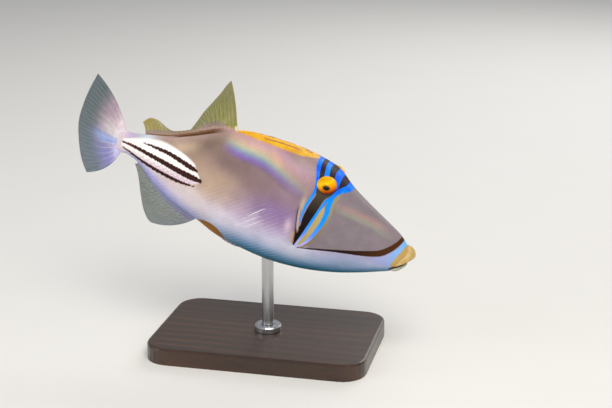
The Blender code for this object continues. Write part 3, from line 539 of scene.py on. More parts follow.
def washColours(x, z, level):
    rear = ease((tones["rear"][0] - x) / tones["rear"][1])[..., None]
    colours = colourRun(level, upperRamp) * (1.0 - rear) + colourRun(level, rearRamp) * rear
    away, carried = fromLine(x, z, smoothLine([point[:2] for point in marks["mouthBrown"]]))
    above = ease(0.5 + away * carried[..., 0] * 0.5) * onward(x, tones["snout"])
    colours += (np.array(linear(snoutColour)) - colours) * above[..., None]
    for px, pz, reachX, reachZ, lean, colour, strength in washes:
        c, s = math.cos(math.radians(lean)), math.sin(math.radians(lean))
        along = ((x - px) * c + (z - pz) * s) / reachX
        across = ((z - pz) * c - (x - px) * s) / reachZ
        share = strength * np.exp(-(along ** 2 + across ** 2)) * (1.0 - above * onward(x, tones["noWash"]))
        colours += (np.array(linear(colour)) - colours) * share[..., None]
    # painted sheen: reflected pearly colours laid over the flank and cheek
    for sheen in (backSheen, cheekSheen):
        away, carried = fromLine(x, z, smoothLine(sheen["line"]))
        offset, stops, fade = away * carried[..., 0], sheen["stops"], tones["sheenFade"]
        window = ease((offset - stops[0][0]) / fade) * ease((stops[-1][0] - offset) / fade)
        share = curveThrough(sheen["strength"])(x) * window
        colours += (colourRun(offset, stops) - colours) * share[..., None]
    return colours


def skinRelief(x, y, z, arc, away, behind):  # raises and hollows in millimetres, and the scale lattice
    lean = math.radians(skin["scaleLean"])
    first = (x * math.cos(lean) + arc * math.sin(lean)) / skin["scalePitch"]
    second = (x * math.cos(lean) - arc * math.sin(lean)) / skin["scalePitch"]
    plateX, plateZ, plateReachX, plateReachZ = skin["plates"]
    plates = np.exp(-((x - plateX) / plateReachX) ** 4 - ((z - plateZ) / plateReachZ) ** 4)
    dome = (np.abs(np.sin(math.pi * first)) * np.abs(np.sin(math.pi * second))) ** skin["scalePower"]
    fine = 1.0 - skin["finer"][2] * onward(x, skin["finer"])
    rise = dome * skin["scaleRise"] * fine * (1.0 - onward(x, skin["bare"]))
    plateDome = np.abs(np.sin(math.pi * first / 2.0)) * np.abs(np.sin(math.pi * second / 2.0))
    rise = rise + plates * (plateDome ** skin["platePower"] * skin["plateRise"] - dome * skin["scaleRise"])
    gillTop, gillBottom, gillFade = skin["gillEnds"]
    ends = ease((gillTop - z) / gillFade) * ease((z - gillBottom) / gillFade)
    rise = rise - skin["gillDepth"] * np.exp(-(away / skin["gillHalfWidth"]) ** 2) * ends
    rise = rise + skin["gillFlap"] * np.exp(-((behind + skin["flapBehind"]) / skin["flapWidth"]) ** 2) * ends
    grooveRear, grooveFront, grooveHalf, grooveDepth = skin["groove"]
    fade = skin["grooveFade"]
    inGroove = ease((x - grooveRear) / fade) * ease((grooveFront - x) / fade) * (z > 0.0)
    rise = rise - grooveDepth * inGroove * ease(skin["grooveWall"] - np.abs(y) / grooveHalf)
    swollen = skin["finBase"] * np.exp(-(y / skin["finBaseWidth"]) ** 2)
    fadeRear, fadeFront = skin["finBaseFade"]
    for rear, front, way in skin["finBases"]:
        rise = rise + swollen * ease((x - rear) / fadeRear) * ease((front - x) / fadeFront) * (z * way > 0.0)
    padX, padZ, padReachX, padReachZ, padRise = skin["pectoralPad"]
    pad = np.exp(-((x - padX) / padReachX) ** 2 - ((z - padZ) / padReachZ) ** 4)
    rise = rise + padRise * pad * (behind < 0.0)
    rimRise, rimReach, rimWidth = skin["nostrilRim"]
    depth, edge = skin["nostrilHole"]
    for nx, nz, radius in skin["nostrils"]:
        reach = np.hypot(x - nx, z - nz) / radius
        rise = rise + rimRise * np.exp(-((reach - rimReach) / rimWidth) ** 2)
        rise = rise - depth * radius * ease(edge - reach)
    return rise, first, second


def ringPlaces():  # where along the fish each ring lies
    fine = np.linspace(body["tailEnd"], body["noseTip"], 4000)
    dense = 1.0 + sum(gain * np.exp(-((fine - at) / spread) ** 2) for at, spread, gain in skin["crowding"])
    dense = np.cumsum(dense) / np.sum(dense)
    xs = np.interp(np.arange(1, skin["rings"]) / skin["rings"], dense, fine)
    tip = xs > body["noseStart"] + skin["evenTip"]
    start = xs[tip][0]
    xs[tip] = between((start, body["noseTip"]), np.sin(np.linspace(0.0, 0.5 * math.pi, tip.sum() + 1)[:-1]))
    return xs


def arcFromMiddle(grid):  # arc length from the widest level, upwards and downwards, alike on both flanks
    rows, segments = grid.shape[:2]
    quarter = segments // 4
    step = np.linalg.norm(np.diff(grid[:, :quarter + 1], axis=1), axis=2)
    up = np.concatenate((np.zeros((rows, 1)), np.cumsum(step, axis=1)), axis=1)
    step = np.linalg.norm(np.diff(grid[:, ::-1][:, :quarter], axis=1, prepend=grid[:, :1]), axis=2)
    down = np.cumsum(step, axis=1)
    arc = np.zeros((rows, segments))
    arc[:, :quarter + 1] = up
    arc[:, quarter:2 * quarter + 1] = up[:, ::-1]
    arc[:, segments - quarter:] = -down[:, ::-1]
    arc[:, 2 * quarter + 1:segments - quarter] = -down[:, :quarter - 1]
    return arc


def raiseLids(moved, y):  # a rim of skin rings each eye, and the skin inside it sinks behind the eyeball
    dark = np.zeros(y.shape)
    for side in (-1.0, 1.0):
        axis, across, upward = eyeAxes(side)
        offset = moved - eyeCentre(side)
        radial = np.hypot(offset @ across, offset @ upward / eye["flatness"])
        near = (offset @ axis > 0.0) & (y * side > 0.0)
        sink = ease((skin["lidRadius"] - skin["socketIn"] - radial) / skin["socketFade"]) * near
        rim = np.exp(-((radial - skin["lidRadius"] - skin["lidOut"]) / skin["lidWidth"]) ** 2) * near
        moved = moved + axis * (skin["lidRise"] * rim - skin["socketDepth"] * sink)[..., None]
        # dark marks the rim where painted shade lines the join of skin and eyeball
        dark = np.maximum(dark, np.exp(-((radial - skin["lidRadius"]) / skin["lidDark"]) ** 2) * near)
    return moved, dark


def makeSkin(material):
    piece, t, angle = spherePiece("fishSkin", skin["rings"], skin["segments"], material)
    rings, segments = skin["rings"], skin["segments"]
    ring = np.rint(t * rings).astype(int)
    column = np.rint(angle / (2.0 * math.pi) * segments).astype(int) % segments
    inner = (ring > 0) & (ring < rings)
    index = np.zeros((rings - 1, segments), int)
    index[ring[inner] - 1, column[inner]] = np.nonzero(inner)[0]
    poles = [int(np.argmin(t)), int(np.argmax(t))]

    def toMesh(values):  # to the mesh's order; a pole takes the mean of the ring beside it
        flat = np.zeros((len(t),) + values.shape[2:])
        flat[index] = values
        for pole, row in zip(poles, (0, -1)):
            flat[pole] = values[row].mean(axis=0)
        return flat

    grid = skinPoints(ringPlaces()[:, None], (np.arange(segments) / segments * 2.0 * math.pi)[None, :])
    x, y, z = grid[..., 0], grid[..., 1], grid[..., 2]
    arc = arcFromMiddle(grid)
    tangentTurn = np.roll(grid, -1, axis=1) - np.roll(grid, 1, axis=1)
    normal = unit(np.cross(tangentTurn, np.gradient(grid, axis=0)))
    top, bottom, half, middle = section(x)
    outward = np.sum(normal * np.stack((x * 0.0, y, z - middle), axis=-1), axis=-1)
    normal *= np.where(np.median(outward) < 0.0, -1.0, 1.0)
    # Marks are worked out on one flank, and its twin takes the same
    quarter = segments // 4
    flank = np.concatenate((np.arange(quarter + 1), np.arange(segments - quarter, segments)))
    other = np.setdiff1d(np.arange(segments), flank)
    twin = np.zeros(segments, int)
    twin[flank] = np.arange(len(flank))
    twin[other] = twin[(segments // 2 - other) % segments]
    fx, fz = x[:, flank], z[:, flank]
    gillAway, carried = fromLine(fx, fz, smoothLine(skin["gillLine"]))
    gillBehind = gillAway * carried[..., 0]
    rise, first, second = skinRelief(x, y, z, arc, gillAway[:, twin], gillBehind[:, twin])
    moved, lidDark = raiseLids(grid + normal * rise[..., None], y)
    level = (z - bottom) / (top - bottom)
    values = {
        name: np.max([insideMark(fx, fz, part) for part in parts], axis=0)
        for name, parts in paintedMarks.items()}
    slope = math.radians(mouthLine["slope"])
    mouthAway = (fz - mouthLine["z"]) * math.cos(slope) - (fx - mouthLine["x"]) * math.sin(slope)
    values["mouthDark"] = np.minimum(mouthLine["half"] - np.abs(mouthAway), fx - mouthLine["rear"])
    values["gill"] = gillAway
    values = {name: np.clip(value[:, twin], farOff, -farOff) for name, value in values.items()}
    rear, front = backLine["range"]
    line = np.minimum(x - rear, front - x) / backLine["fade"]
    line = np.minimum(backLine["half"] - np.abs(np.abs(y) - backLine["off"]), line)
    yellow = curveThrough(marks["yellowHalf"])(x) - np.abs(y)
    values["backLine"] = np.maximum(np.where(z > middle, line, farOff), farOff)
    values["yellow"] = np.maximum(np.where(z > middle, yellow, farOff), farOff)
    values.update({"lidDark": lidDark, "forward": x, "height": z, "level": level})
    for name, value in values.items():
        keepValue(piece, name, toMesh(value))
    lattice = np.zeros((len(t), 3))
    lattice[index, 0] = first
    lattice[index, 1] = second
    keepVector(piece, "lattice", lattice)
    keepColour(piece, "wash", toMesh(washColours(fx, fz, level[:, flank])[:, twin]))
    placePoints(piece, toMesh(moved))
    return piece


skinPaint = {
    "mottleSize": 7.0, "mottleShade": (0.9, 1.08), "saturation": 1.08, "scaleLine": 0.17,
    "raggedSize": 1.1, "raggedness": 0.3, "tooth": (0.6, 0.4),
    "tailFray": [("ragged",), ("forward", 40.0, 48.0, 1.2, 5.0)],  # the tail's white is most ragged in front
    "relief": [("plate",), ("forward", 120.0, 140.0, 0.8, 0.35)],  # flatter on the head
    "gritSize": 0.45, "grit": 0.35, "roughness": (0.36, 0.5), "shine": (0.35, 0.1),
    # where the painted shade of the crease under the soft dorsal fin lies
    "ridge": [("level", 0.984, 0.994), ("forward", 26.0, 34.0), ("forward", 60.0, 50.0)],
    "scales": [
        "skin", ("#75606a", 1.0, ("scaleEdge",), ("mottle", 0.3, 0.7, 0.03, 0.11)),
        # painted glint: whitish lines along one row of scales, low on the flank and behind the head
        ("#f4eef6", 0.22, ("rowLine",), ("level", 0.62, 0.3), ("forward", 128.0, 100.0)),
        ("#4e2a08", 0.95, ("ridge",))],  # a thin brown line of painted shade in the crease along the back, under the soft dorsal fin
    "blackStops": [  # black from the lower cheek up to the forehead
        (0.0, "#0b0404"), (0.14, "#100605"), (0.34, "#1f1412"), (0.48, "#3a3027"), (0.62, "#4d4336"),
        (0.76, "#33252a"), (1.0, "#2a1d26")],
    "bands": [  # mark, how soft and how ragged its edge is, what makes it ragged, paint
        ("tailWhite", 0.8, 1.0, "tailFray", [
            "#fdf7f4", ("#e9d3df", 1.0, ("height", 0.5, -3.5)),
            ("#a98299", 1.0, ("scaleEdge",), ("height", 1.0, -1.5, 0.04, 0.5))]),
        ("stripe", 0.16, 1.0, "toothed", ["#3a1c17", ("#4e2015", 1.0, ("forward", 14.0, 2.0))]),
        ("yellow", 0.9, 1.0, "ragged", ["#d89a06", ("#e8b40c", 1.0, ("mottle", 0.35, 0.65))]),
        ("backLine", 0.3, 0.6, "ragged", "#a0622c"),
        ("ventOchre", 0.35, 1.2, "ragged", ["#744800", ("#a86800", 1.0, ("mottle",))]),
        ("ventBlack", 0.5, 1.2, "ragged", "#2a1c0a"),
        ("mustard", 0.5, 0.7, "ragged", ["#a09468", ("#8f7433", 1.0, ("height", 19.0, -12.0))]),
        ("black", 0.15, 0.6, "ragged", "blackTone"),
        ("wedge", 0.2, 0.5, "ragged", ["#c0aa68", ("#b39e66", 1.0, ("mottle",))]),
        ("blue", 0.17, 0.5, "ragged", [
            "#0560ff", ("#0787ff", 1.0, ("mottle", 0.35, 0.65)), ("#0a95ff", 1.0, ("height", 22.0, 13.0)),
            ("#5f93ff", 1.0, ("height", 3.0, -12.0)), ("#b4b8f4", 1.0, ("height", -7.0, -15.0))]),
        ("sky", 0.8, 0.6, "ragged", ["#76bafb", ("#a3abdc", 1.0, ("forward", 177.0, 166.0))]),
        ("brown", 0.2, 0.8, "ragged", ["#220a08", ("#4c2a0c", 1.0, ("forward", 142.0, 172.0))]),
        ("lipTan", 0.4, 1.2, "ragged", ["#cfb06a", ("#bd9a5a", 1.0, ("mottle",))]),
        # painted shade in the gap along the line that parts the lips
        ("mouthDark", 0.45, 0.3, "ragged", "#32221a"),
        ("flap", 0.3, 0.4, "ragged", ["#bba996", ("#8a5c34", 1.0, ("height", -5.0, -8.5))]),
        ("lobe", 0.5, 0.6, "ragged", "#c9a583")],
    "creases": [  # painted shade: the gill slit is a thin dark crease behind its flap, and the rim of each eye is dark where the skin meets the eyeball
        "skin", ("#2b1a14", 0.75, ("gill", 0.5, 0.12), ("height", 8.0, 3.0)), ("#17110f", 0.7, ("lidDark",))],
    "dull": ["black", "stripe", "brown", "blue", "ventOchre"],
}


def skinMaterial():  # scaled fish skin under satin varnish: soft pearly colours of painted sheen, crisp painted-looking bands
    names = [band[0] for band in skinPaint["bands"]] + ["forward", "height", "level", "gill", "lidDark"]
    material, tree, shader, fields = newMaterial(
        "scaledSkin", *names, Roughness=0.42, Coat_Weight=0.06, Coat_Roughness=0.25)
    mottle = fields["mottle"] = grain(tree, skinPaint["mottleSize"], 4.0)
    shade = addNode(tree, "MapRange", (mottle, 0.3, 0.7, *skinPaint["mottleShade"]))
    wash = addNode(tree, "Attribute", output="Color", attribute_name="wash")
    fields["skin"] = addNode(
        tree, "HueSaturation", {"Color": wash, "Value": shade, "Saturation": skinPaint["saturation"]})
    # Scale edges from the lattice: two families of diagonal lines
    lattice = addNode(tree, "Attribute", output="Vector", attribute_name="lattice")
    for k, name in enumerate(("firstRow", "secondRow")):
        row = addNode(tree, "SeparateXYZ", (lattice,), k)
        fields[name] = addNode(tree, "Math", (row, 0.5), operation="PINGPONG")
    line = skinPaint["scaleLine"]
    plate = fields["plate"] = shareOf(tree, fields, 1.0, [("firstRow", 0.0, line), ("secondRow", 0.0, line)])
    fields["scaleEdge"] = addNode(tree, "Math", (1.0, plate), operation="SUBTRACT")
    fields["rowLine"] = shareOf(tree, fields, 1.0, [("secondRow", line, 0.0)])
    fields["ridge"] = shareOf(tree, fields, 1.0, skinPaint["ridge"])
    # Fine grain makes every edge ragged, and the scales add teeth to the stripes
    most, fine = skinPaint["raggedness"], grain(tree, skinPaint["raggedSize"], 3.0, 0.7)
    ragged = fields["ragged"] = addNode(tree, "MapRange", (fine, 0.0, 1.0, -most, most))
    fields["tailFray"] = shareOf(tree, fields, 1.0, skinPaint["tailFray"])
    toothLevel, toothSize = skinPaint["tooth"]
    tooth = addNode(tree, "Math", (plate, toothLevel), operation="SUBTRACT")
    fields["toothed"] = addNode(tree, "Math", (tooth, toothSize, ragged), operation="MULTIPLY_ADD")
    blackLevel = addNode(tree, "MapRange", (fields["height"], -10.0, 34.0))
    fields["blackTone"] = addNode(tree, "ValToRGB", (blackLevel,), stops=skinPaint["blackStops"])
    fields["skin"] = painted(tree, fields, skinPaint["scales"])
    for mark, soft, rough, fray, paint in skinPaint["bands"]:
        edge = addNode(tree, "Math", (fields[fray], rough, fields[mark]), operation="MULTIPLY_ADD")
        fields[mark] = addNode(tree, "MapRange", (edge, -soft, soft), interpolation_type="SMOOTHSTEP")
        fields["skin"] = painted(tree, fields, ["skin", (paint, 1.0, (mark,))])
    dull = fields["ridge"]
    for mark in skinPaint["dull"]:
        dull = addNode(tree, "Math", (dull, fields[mark]), operation="MAXIMUM")
    shine = addNode(tree, "MapRange", (dull, 0.0, 1.0, *skinPaint["shine"]))
    tree.links.new(shine, shader.inputs["Specular IOR Level"])
    # Scale relief with fine grit on it
    grit = grain(tree, skinPaint["gritSize"], 3.0)
    raised = shareOf(tree, fields, 1.0, skinPaint["relief"])
    relief = addNode(tree, "Math", (grit, skinPaint["grit"], raised), operation="MULTIPLY_ADD")
    finishMaterial(tree, shader, painted(tree, fields, skinPaint["creases"]), relief, 0.4, 0.1)
    rough = addNode(tree, "MapRange", (grit, 0.3, 0.7, *skinPaint["roughness"]))
    tree.links.new(rough, shader.inputs["Roughness"])
    return material


fishSkin = makeSkin(skinMaterial())
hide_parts("head", "trunk", "tail_stalk")
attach(fishSkin, "root")
print("skin made:", len(fishSkin.data.polygons), "faces")


# Lips
lips = {
    "rings": 150, "segments": 64, "corrugation": 0.06, "folds": 64, "gap": 0.55, "edgeReach": 1.2,
    "bow": 0.7, "fullness": 0.5,
    # colours: pale, deep, and the painted shade in the troughs of the folds
    "upper": {
        "corner": (173.4, 5.7, -13.0), "front": (179.9, -3.9), "thick": (1.5, 3.2), "tall": (1.7, 4.4),
        "tilt": -28.0, "way": 1.0, "node": "lip_upper", "colours": ("#d2b671", "#c29e5b", "#9c7440")},
    "lower": {
        "corner": (172.8, 5.5, -15.6), "front": (177.6, -11.4), "thick": (1.4, 2.6), "tall": (1.1, 2.0),
        "tilt": 12.0, "way": -1.0, "node": "lip_lower", "colours": ("#c9ccb4", "#a9ab90", "#7d7c62")},
}


def lipMaterial(name, pale, deep, fold):  # firm lip flesh, fine upright folds and a satin wet look; painted shade darkens the troughs of the folds and the edge along the mouth's line
    material, tree, shader, fields = newMaterial(
        name, "folds", "edge", Roughness=0.36, Coat_Weight=0.3, Coat_Roughness=0.2)
    fields["mottle"] = grain(tree, 2.6, 4.0)
    colour = painted(tree, fields, [
        pale, (deep, 1.0, ("mottle", 0.3, 0.7)), (fold, 0.3, ("folds", 0.2, -1.0)),
        ("#3a2616", 0.75, ("edge",))])
    relief = addNode(tree, "Math", (fields["folds"], 0.3, grain(tree, 0.5, 3.0)), operation="MULTIPLY_ADD")
    finishMaterial(tree, shader, colour, relief, 0.45, 0.15)
    return material


def makeLip(which):
    spec = lips[which]
    material = lipMaterial(which + "LipFlesh", *spec["colours"])
    piece, t, angle = spherePiece(which + "Lip", lips["rings"], lips["segments"], material)
    turn = (t - 0.5) * math.pi
    forward = np.maximum(np.cos(turn), 0.0)
    cornerX, cornerY, cornerZ = spec["corner"]
    frontX, frontZ = spec["front"]
    pathX = between((cornerX, frontX), forward ** lips["bow"])
    pathZ = between((cornerZ, frontZ), forward)
    close = closing(t, 6)
    folds = np.sin(t * lips["folds"] * math.pi)
    full = forward ** lips["fullness"]
    thick = between(spec["thick"], full) * close
    thick = thick * (1.0 + lips["corrugation"] * folds * np.abs(np.sin(angle)) * close)
    tall = between(spec["tall"], full) * close
    outward = np.stack((np.cos(turn), np.sin(turn), turn * 0.0), axis=1)
    lean = math.sin(math.radians(spec["tilt"])) * np.cos(turn)
    upward = unit(np.array((0.0, 0.0, 1.0)) + outward * lean[:, None])
    points = np.stack((pathX, cornerY * np.sin(turn), pathZ), axis=1)
    points = points + outward * (np.cos(angle) * thick)[:, None] + upward * (np.sin(angle) * tall)[:, None]
    # Neither lip passes the line of the mouth
    slope = math.radians(mouthLine["slope"])
    normal = np.array((-math.sin(slope), 0.0, math.cos(slope)))
    offset = (points - np.array((mouthLine["x"], 0.0, mouthLine["z"]))) @ normal
    over = np.maximum(0.0, lips["gap"] - offset * spec["way"])
    keepValue(piece, "edge", ease(over / lips["edgeReach"]))
    keepValue(piece, "folds", folds)
    placePoints(piece, points + normal * (spec["way"] * over)[:, None])
    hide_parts(spec["node"])
    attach(piece, "root")


makeLip("upper")
makeLip("lower")
print("lips made")


# Eyes
def eyeMaterial():  # wet cornea over a bright iris: yellow above, orange-red below, partly its own colour and partly painted shade towards the front and bottom; a painted greenish reflection in the pupil
    material, tree, shader, fields = newMaterial(
        "eyeGloss", "radius", "up", Roughness=0.5, Specular_IOR_Level=0.05, Coat_Weight=0.12,
        Coat_Roughness=0.04)
    level = addNode(tree, "MapRange", (fields["up"], -0.9, 0.85))
    fields["iris"] = addNode(tree, "ValToRGB", (level,), stops=eye["irisStops"])
    fields["fromPupil"] = addNode(tree, "Math", (fields["radius"], eye["pupil"]), operation="SUBTRACT")
    spokes = addNode(tree, "Attribute", output="Vector", attribute_name="spokes")
    fields["streak"] = addNode(tree, "TexNoise", {"Vector": spokes, "Scale": 1.0, "Detail": 3.0})
    tree.links.new(painted(tree, fields, eye["paint"]), shader.inputs["Base Color"])
    return material


def makeEye(side, name, node, material):
    piece, t, angle = spherePiece(name, eye["rings"], eye["segments"], material)
    axis, across, upward = eyeAxes(side)
    gaze = unit(np.array(eye["gaze"]) * (1.0, side, 1.0))
    polar = t * math.pi
    rise = eye["radius"] + eye["corneaRise"] * ease(1.0 - t / eye["corneaSpread"])
    way = (np.sin(polar) * np.cos(angle))[:, None] * across + np.cos(polar)[:, None] * axis
    tall = (np.sin(polar) * np.sin(angle))[:, None] * upward
    points = eyeCentre(side) + (way + tall * eye["flatness"]) * rise[:, None]
    way = way + tall
    along = way @ gaze
    flat = way - along[:, None] * gaze
    radius = np.linalg.norm(flat, axis=1) * eye["radius"]
    oval = np.linalg.norm(flat * eye["pupilShape"], axis=1) * eye["radius"]
    shaped = between((oval, radius), ease(radius / eye["pupilReach"]))
    radius = np.where(radius < eye["pupilReach"], shaped, radius)
    keepValue(piece, "radius", np.where(along > 0.0, radius, eye["behind"]))
    # up runs toward the light: it places the painted shade on the iris and the painted reflection in the pupil
    keepValue(piece, "up", flat @ eye["lit"] * eye["radius"] / eye["iris"])
    keepVector(piece, "spokes", unit(flat) * eye["spokes"][0] + gaze * radius[:, None] * eye["spokes"][1])
    placePoints(piece, points)
    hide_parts(node)
    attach(piece, "root")


eyeGloss = eyeMaterial()
makeEye(-1.0, "rightEye", "eye_right", eyeGloss)
makeEye(1.0, "leftEye", "eye_left", eyeGloss)
print("eyes made")


# Fins: thin translucent membrane over branching rays
fins = {
    "steps": 12, "crowd": 1.35, "gap": 0.3, "sunk": 1.6, "membrane": 0.12, "rayRise": 0.2, "rayThins": 0.7,
    "edgeFrom": 0.9, "edgeThins": 0.5, "rayWidth": (0.2, 0.1), "jointPitch": 0.7,
    "branches": [(0.38, 0.45, 0.25), (0.66, 0.34, 0.115)],  # where a ray splits, over how far, and how wide
    "bends": (0.7, 0.6), "wobble": 0.05, "streaksFrom": (0.15, 0.6), "slopeStep": 0.006,
    "stain": ("#5d5a50", 0.16, ("mottle", 0.35, 0.7)),
}


def rayField(u, v, rays, branched, width):  # 1 on a ray's middle; each ray splits in two, then in four
    across = np.abs((u * rays) % 1.0 - 0.5)
    for start, over, spread in fins["branches"]:
        across = np.abs(across - branched * spread * ease((v - start) / over))
    return ease(1.0 - across / between(width, ease(v)))


def makeFin(name, node, slot, spec, centre, lengthAt, material):
    bm = bmesh.new()
    bmesh.ops.create_grid(bm, x_segments=spec["columns"], y_segments=spec["rows"], size=1.0)
    made = bmesh.ops.extrude_face_region(bm, geom=bm.faces[:], use_keep_orig=True)
    lifted = [item for item in made["geom"] if isinstance(item, bmesh.types.BMVert)]
    bmesh.ops.translate(bm, verts=lifted, vec=(0.0, 0.0, 1.0))
    piece = finishObject(bm, name, material)
    flat = readPoints(piece.data)
    u, v = (flat[:, 0] + 1.0) / 2.0, (flat[:, 1] + 1.0) / 2.0
    side = np.where(flat[:, 2] > 0.5, 1.0, -1.0)
    step = fins["slopeStep"]
    along = centre(np.minimum(u + step, 1.0), v) - centre(np.maximum(u - step, 0.0), v)
    out = centre(u, np.minimum(v + step, 1.0)) - centre(u, np.maximum(v - step, 0.0))
    normal = unit(np.cross(along, out))
    rays = rayField(u, v, spec["rays"], spec.get("branched", 1.0), spec.get("rayWidth", fins["rayWidth"]))
    fleshy = (1.0 - ease(v / spec["rootDepth"])) * (spec["root"] - fins["membrane"])
    crest = rays * fins["rayRise"] * (1.0 - fins["rayThins"] * v)
    edge = 1.0 - fins["edgeThins"] * ease((v - fins["edgeFrom"]) / (1.0 - fins["edgeFrom"]))
    half = (fins["membrane"] + np.maximum(fleshy, crest)) * edge
    for key, value in (("ray", rays), ("reach", v), ("place", u), ("joint", v * lengthAt(u))):
        keepValue(piece, key, value)
    placePoints(piece, centre(u, v) + normal * (side * half)[:, None])
    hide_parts(node)
    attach(piece, "root")


def medianFin(spec, profile, way):  # each ray rises from the midline, bends back and leans over
    lengthAt, sweepAt, leanAt = [curveThrough(spec[key]) for key in ("length", "sweep", "lean")]

    def centre(u, v):
        v = v ** fins["crowd"]
        x = between(spec["base"], u)
        rise = np.where(v > 0.0, fins["gap"], -fins["sunk"])
        point = np.stack((x, x * 0.0, profile(x) + way * rise), axis=1)
        stride = lengthAt(u) * v / fins["steps"]
        for i in range(fins["steps"]):
            along = (i + 0.5) / fins["steps"] * v
            back = np.radians(sweepAt(u) * (fins["bends"][0] + fins["bends"][1] * along))
            over = np.radians(leanAt(u)) * ease(spec["fold"] * along)
            move = (-np.sin(back), np.sin(over) * np.cos(back), way * np.cos(over) * np.cos(back))
            point = point + stride[:, None] * np.stack(move, axis=1)
        return point

    return centre, lengthAt


def finMaterial(name, spec, show=None):
    # Thin membrane lets light through, while bony rays and the fleshy root stay denser
    material, tree, shader, fields = newMaterial(
        name, "ray", "joint", "reach", "place", Roughness=0.38, Coat_Weight=0.2, Coat_Roughness=0.25,
        Subsurface_Weight=0.1, Subsurface_Scale=1.0 * mm)
    fields["mottle"] = grain(tree, 3.0, 3.0)
    root = shareOf(tree, fields, spec["rootAlpha"], [("reach", spec["rootReach"], spec["rootReach"] * 0.5)])
    wobble = addNode(tree, "MapRange", (fields["mottle"], 0.0, 1.0, -fins["wobble"], fins["wobble"]))
    fields["reach"] = addNode(tree, "Math", (fields["reach"], wobble), operation="ADD")
    fields["overSheath"] = fields["reach"]
    for rise in spec.get("sheath", ()):
        level = addNode(tree, "MapRange", (fields["place"], *rise), interpolation_type="SMOOTHSTEP")
        fields["overSheath"] = addNode(tree, "Math", (fields["overSheath"], level), operation="SUBTRACT")
    streaks = (spec["rayColour"], 1.0, ("ray",), ("reach", *fins["streaksFrom"], *spec["rayShare"]))
    colour = painted(tree, fields, [spec["paint"], streaks, fins["stain"]])
    clear = addNode(tree, "MapRange", (fields["ray"], 0.0, 1.0, *spec["alpha"]))
    fields["alpha"] = addNode(tree, "Math", (clear, root), operation="MAXIMUM")
    if show:
        fields["alpha"] = addNode(tree, "Math", (fields["alpha"], show(tree, fields)), operation="MULTIPLY")
    tree.links.new(fields["alpha"], shader.inputs["Alpha"])
    fields["joint"] = addNode(tree, "Math", (fields["joint"], fins["jointPitch"] / 2.0), operation="PINGPONG")
    height = shareOf(tree, fields, 1.0, [("ray",), ("joint", 0.0, 0.12, 0.6, 1.0)])
    relief = addNode(tree, "Math", (grain(tree, 0.5, 2.0), 0.2, height), operation="MULTIPLY_ADD")
    finishMaterial(tree, shader, colour, relief, 0.6, 0.15)
    return material


softDorsal = {
    "base": (64.4, 11.6), "fold": 3.2, "rays": 24, "root": 0.8, "rootDepth": 0.3, "columns": 240, "rows": 70,
    "length": [
        (0.0, 28.7), (0.06, 26.6), (0.14, 25.2), (0.24, 25.2), (0.34, 22.7), (0.48, 16.5), (0.72, 13.2),
        (0.9, 11.6), (1.0, 7.6)],
    "sweep": [(0.0, 23.0), (0.3, 26.0), (0.7, 30.0), (1.0, 36.0)],
    "lean": [
        (0.0, 6.0), (0.07, 24.0), (0.14, 49.0), (0.22, 74.0), (0.3, 92.0), (0.38, 117.0),
        (0.46, 138.0), (0.57, 136.0), (0.7, 104.0), (0.83, 66.0), (1.0, 34.0)],
    "rayColour": "#5f5a28", "rayShare": (0.3, 0.62), "alpha": (0.72, 0.94), "rootAlpha": 1.0, "rootReach": 0.34,
    "sheath": [(0.02, 0.26, 0.04, 0.3), (0.36, 0.46, 0.0, -0.1), (0.6, 0.74, 0.0, 0.14)],  # how high it is
    "paint": [  # a low skin-toned sheath with a brown line of painted shade in its crease, then olive-yellow membrane
        "#c0a09a", ("#a08572", 1.0, ("place", 0.1, 0.5)),
        ("#7f6a56", 0.85, ("place", 0.02, 0.12), ("place", 0.4, 0.24), ("reach", 0.1, 0.24)),
        (["#94903a", ("#a39f4c", 1.0, ("reach", 0.3, 1.0)), ("#a89c48", 1.0, ("place", 0.55, 0.9))],
         1.0, ("overSheath", 0.0, 0.12)),
        # painted shade: a brown line in the crease at the sheath's base
        ("#70400c", 0.95, ("reach", 0.17, 0.09), ("place", 0.06, 0.24)),
        ("#c99a2a", 0.7, ("reach", 0.88, 1.0), ("place", 0.25, 0.5)),
        # painted highlight on the base of the first ray
        ("#f1e6b8", 1.0, ("place", 0.035, 0.01), ("reach", 0.22, 0.12))],
}
anal = {
    "base": (54.3, 11.0), "fold": 1.6, "rays": 22, "root": 0.85, "rootDepth": 0.25, "columns": 220, "rows": 60,
    "length": [(0.0, 25.0), (0.08, 27.6), (0.3, 23.6), (0.6, 16.4), (1.0, 4.6)],
    "sweep": [(0.0, 60.0), (0.3, 56.0), (0.6, 47.0), (1.0, 34.0)],
    "lean": [(0.0, 5.0), (0.3, 16.0), (0.6, 36.0), (1.0, 60.0)],
    "rayColour": "#a5ada0", "rayShare": (0.3, 0.3), "alpha": (0.62, 0.8), "rootAlpha": 1.0, "rootReach": 0.34,
    "paint": [  # grey-green membrane with a lilac root
        "#748078", ("#66746c", 1.0, ("reach", 0.35, 1.0)), ("#66747c", 1.0, ("place", 0.3, 0.0)),
        ("#918eba", 1.0, ("reach", 0.4, 0.06))],
}
dorsalMembrane = finMaterial("dorsalMembrane", softDorsal)
makeFin(
    "softDorsalFin", "soft_dorsal_fin", "fin_membrane", softDorsal, *medianFin(softDorsal, topAt, 1.0),
    dorsalMembrane)
analMembrane = finMaterial("analMembrane", anal)
makeFin("analFin", "anal_fin", "fin_membrane", anal, *medianFin(anal, bottomAt, -1.0), analMembrane)

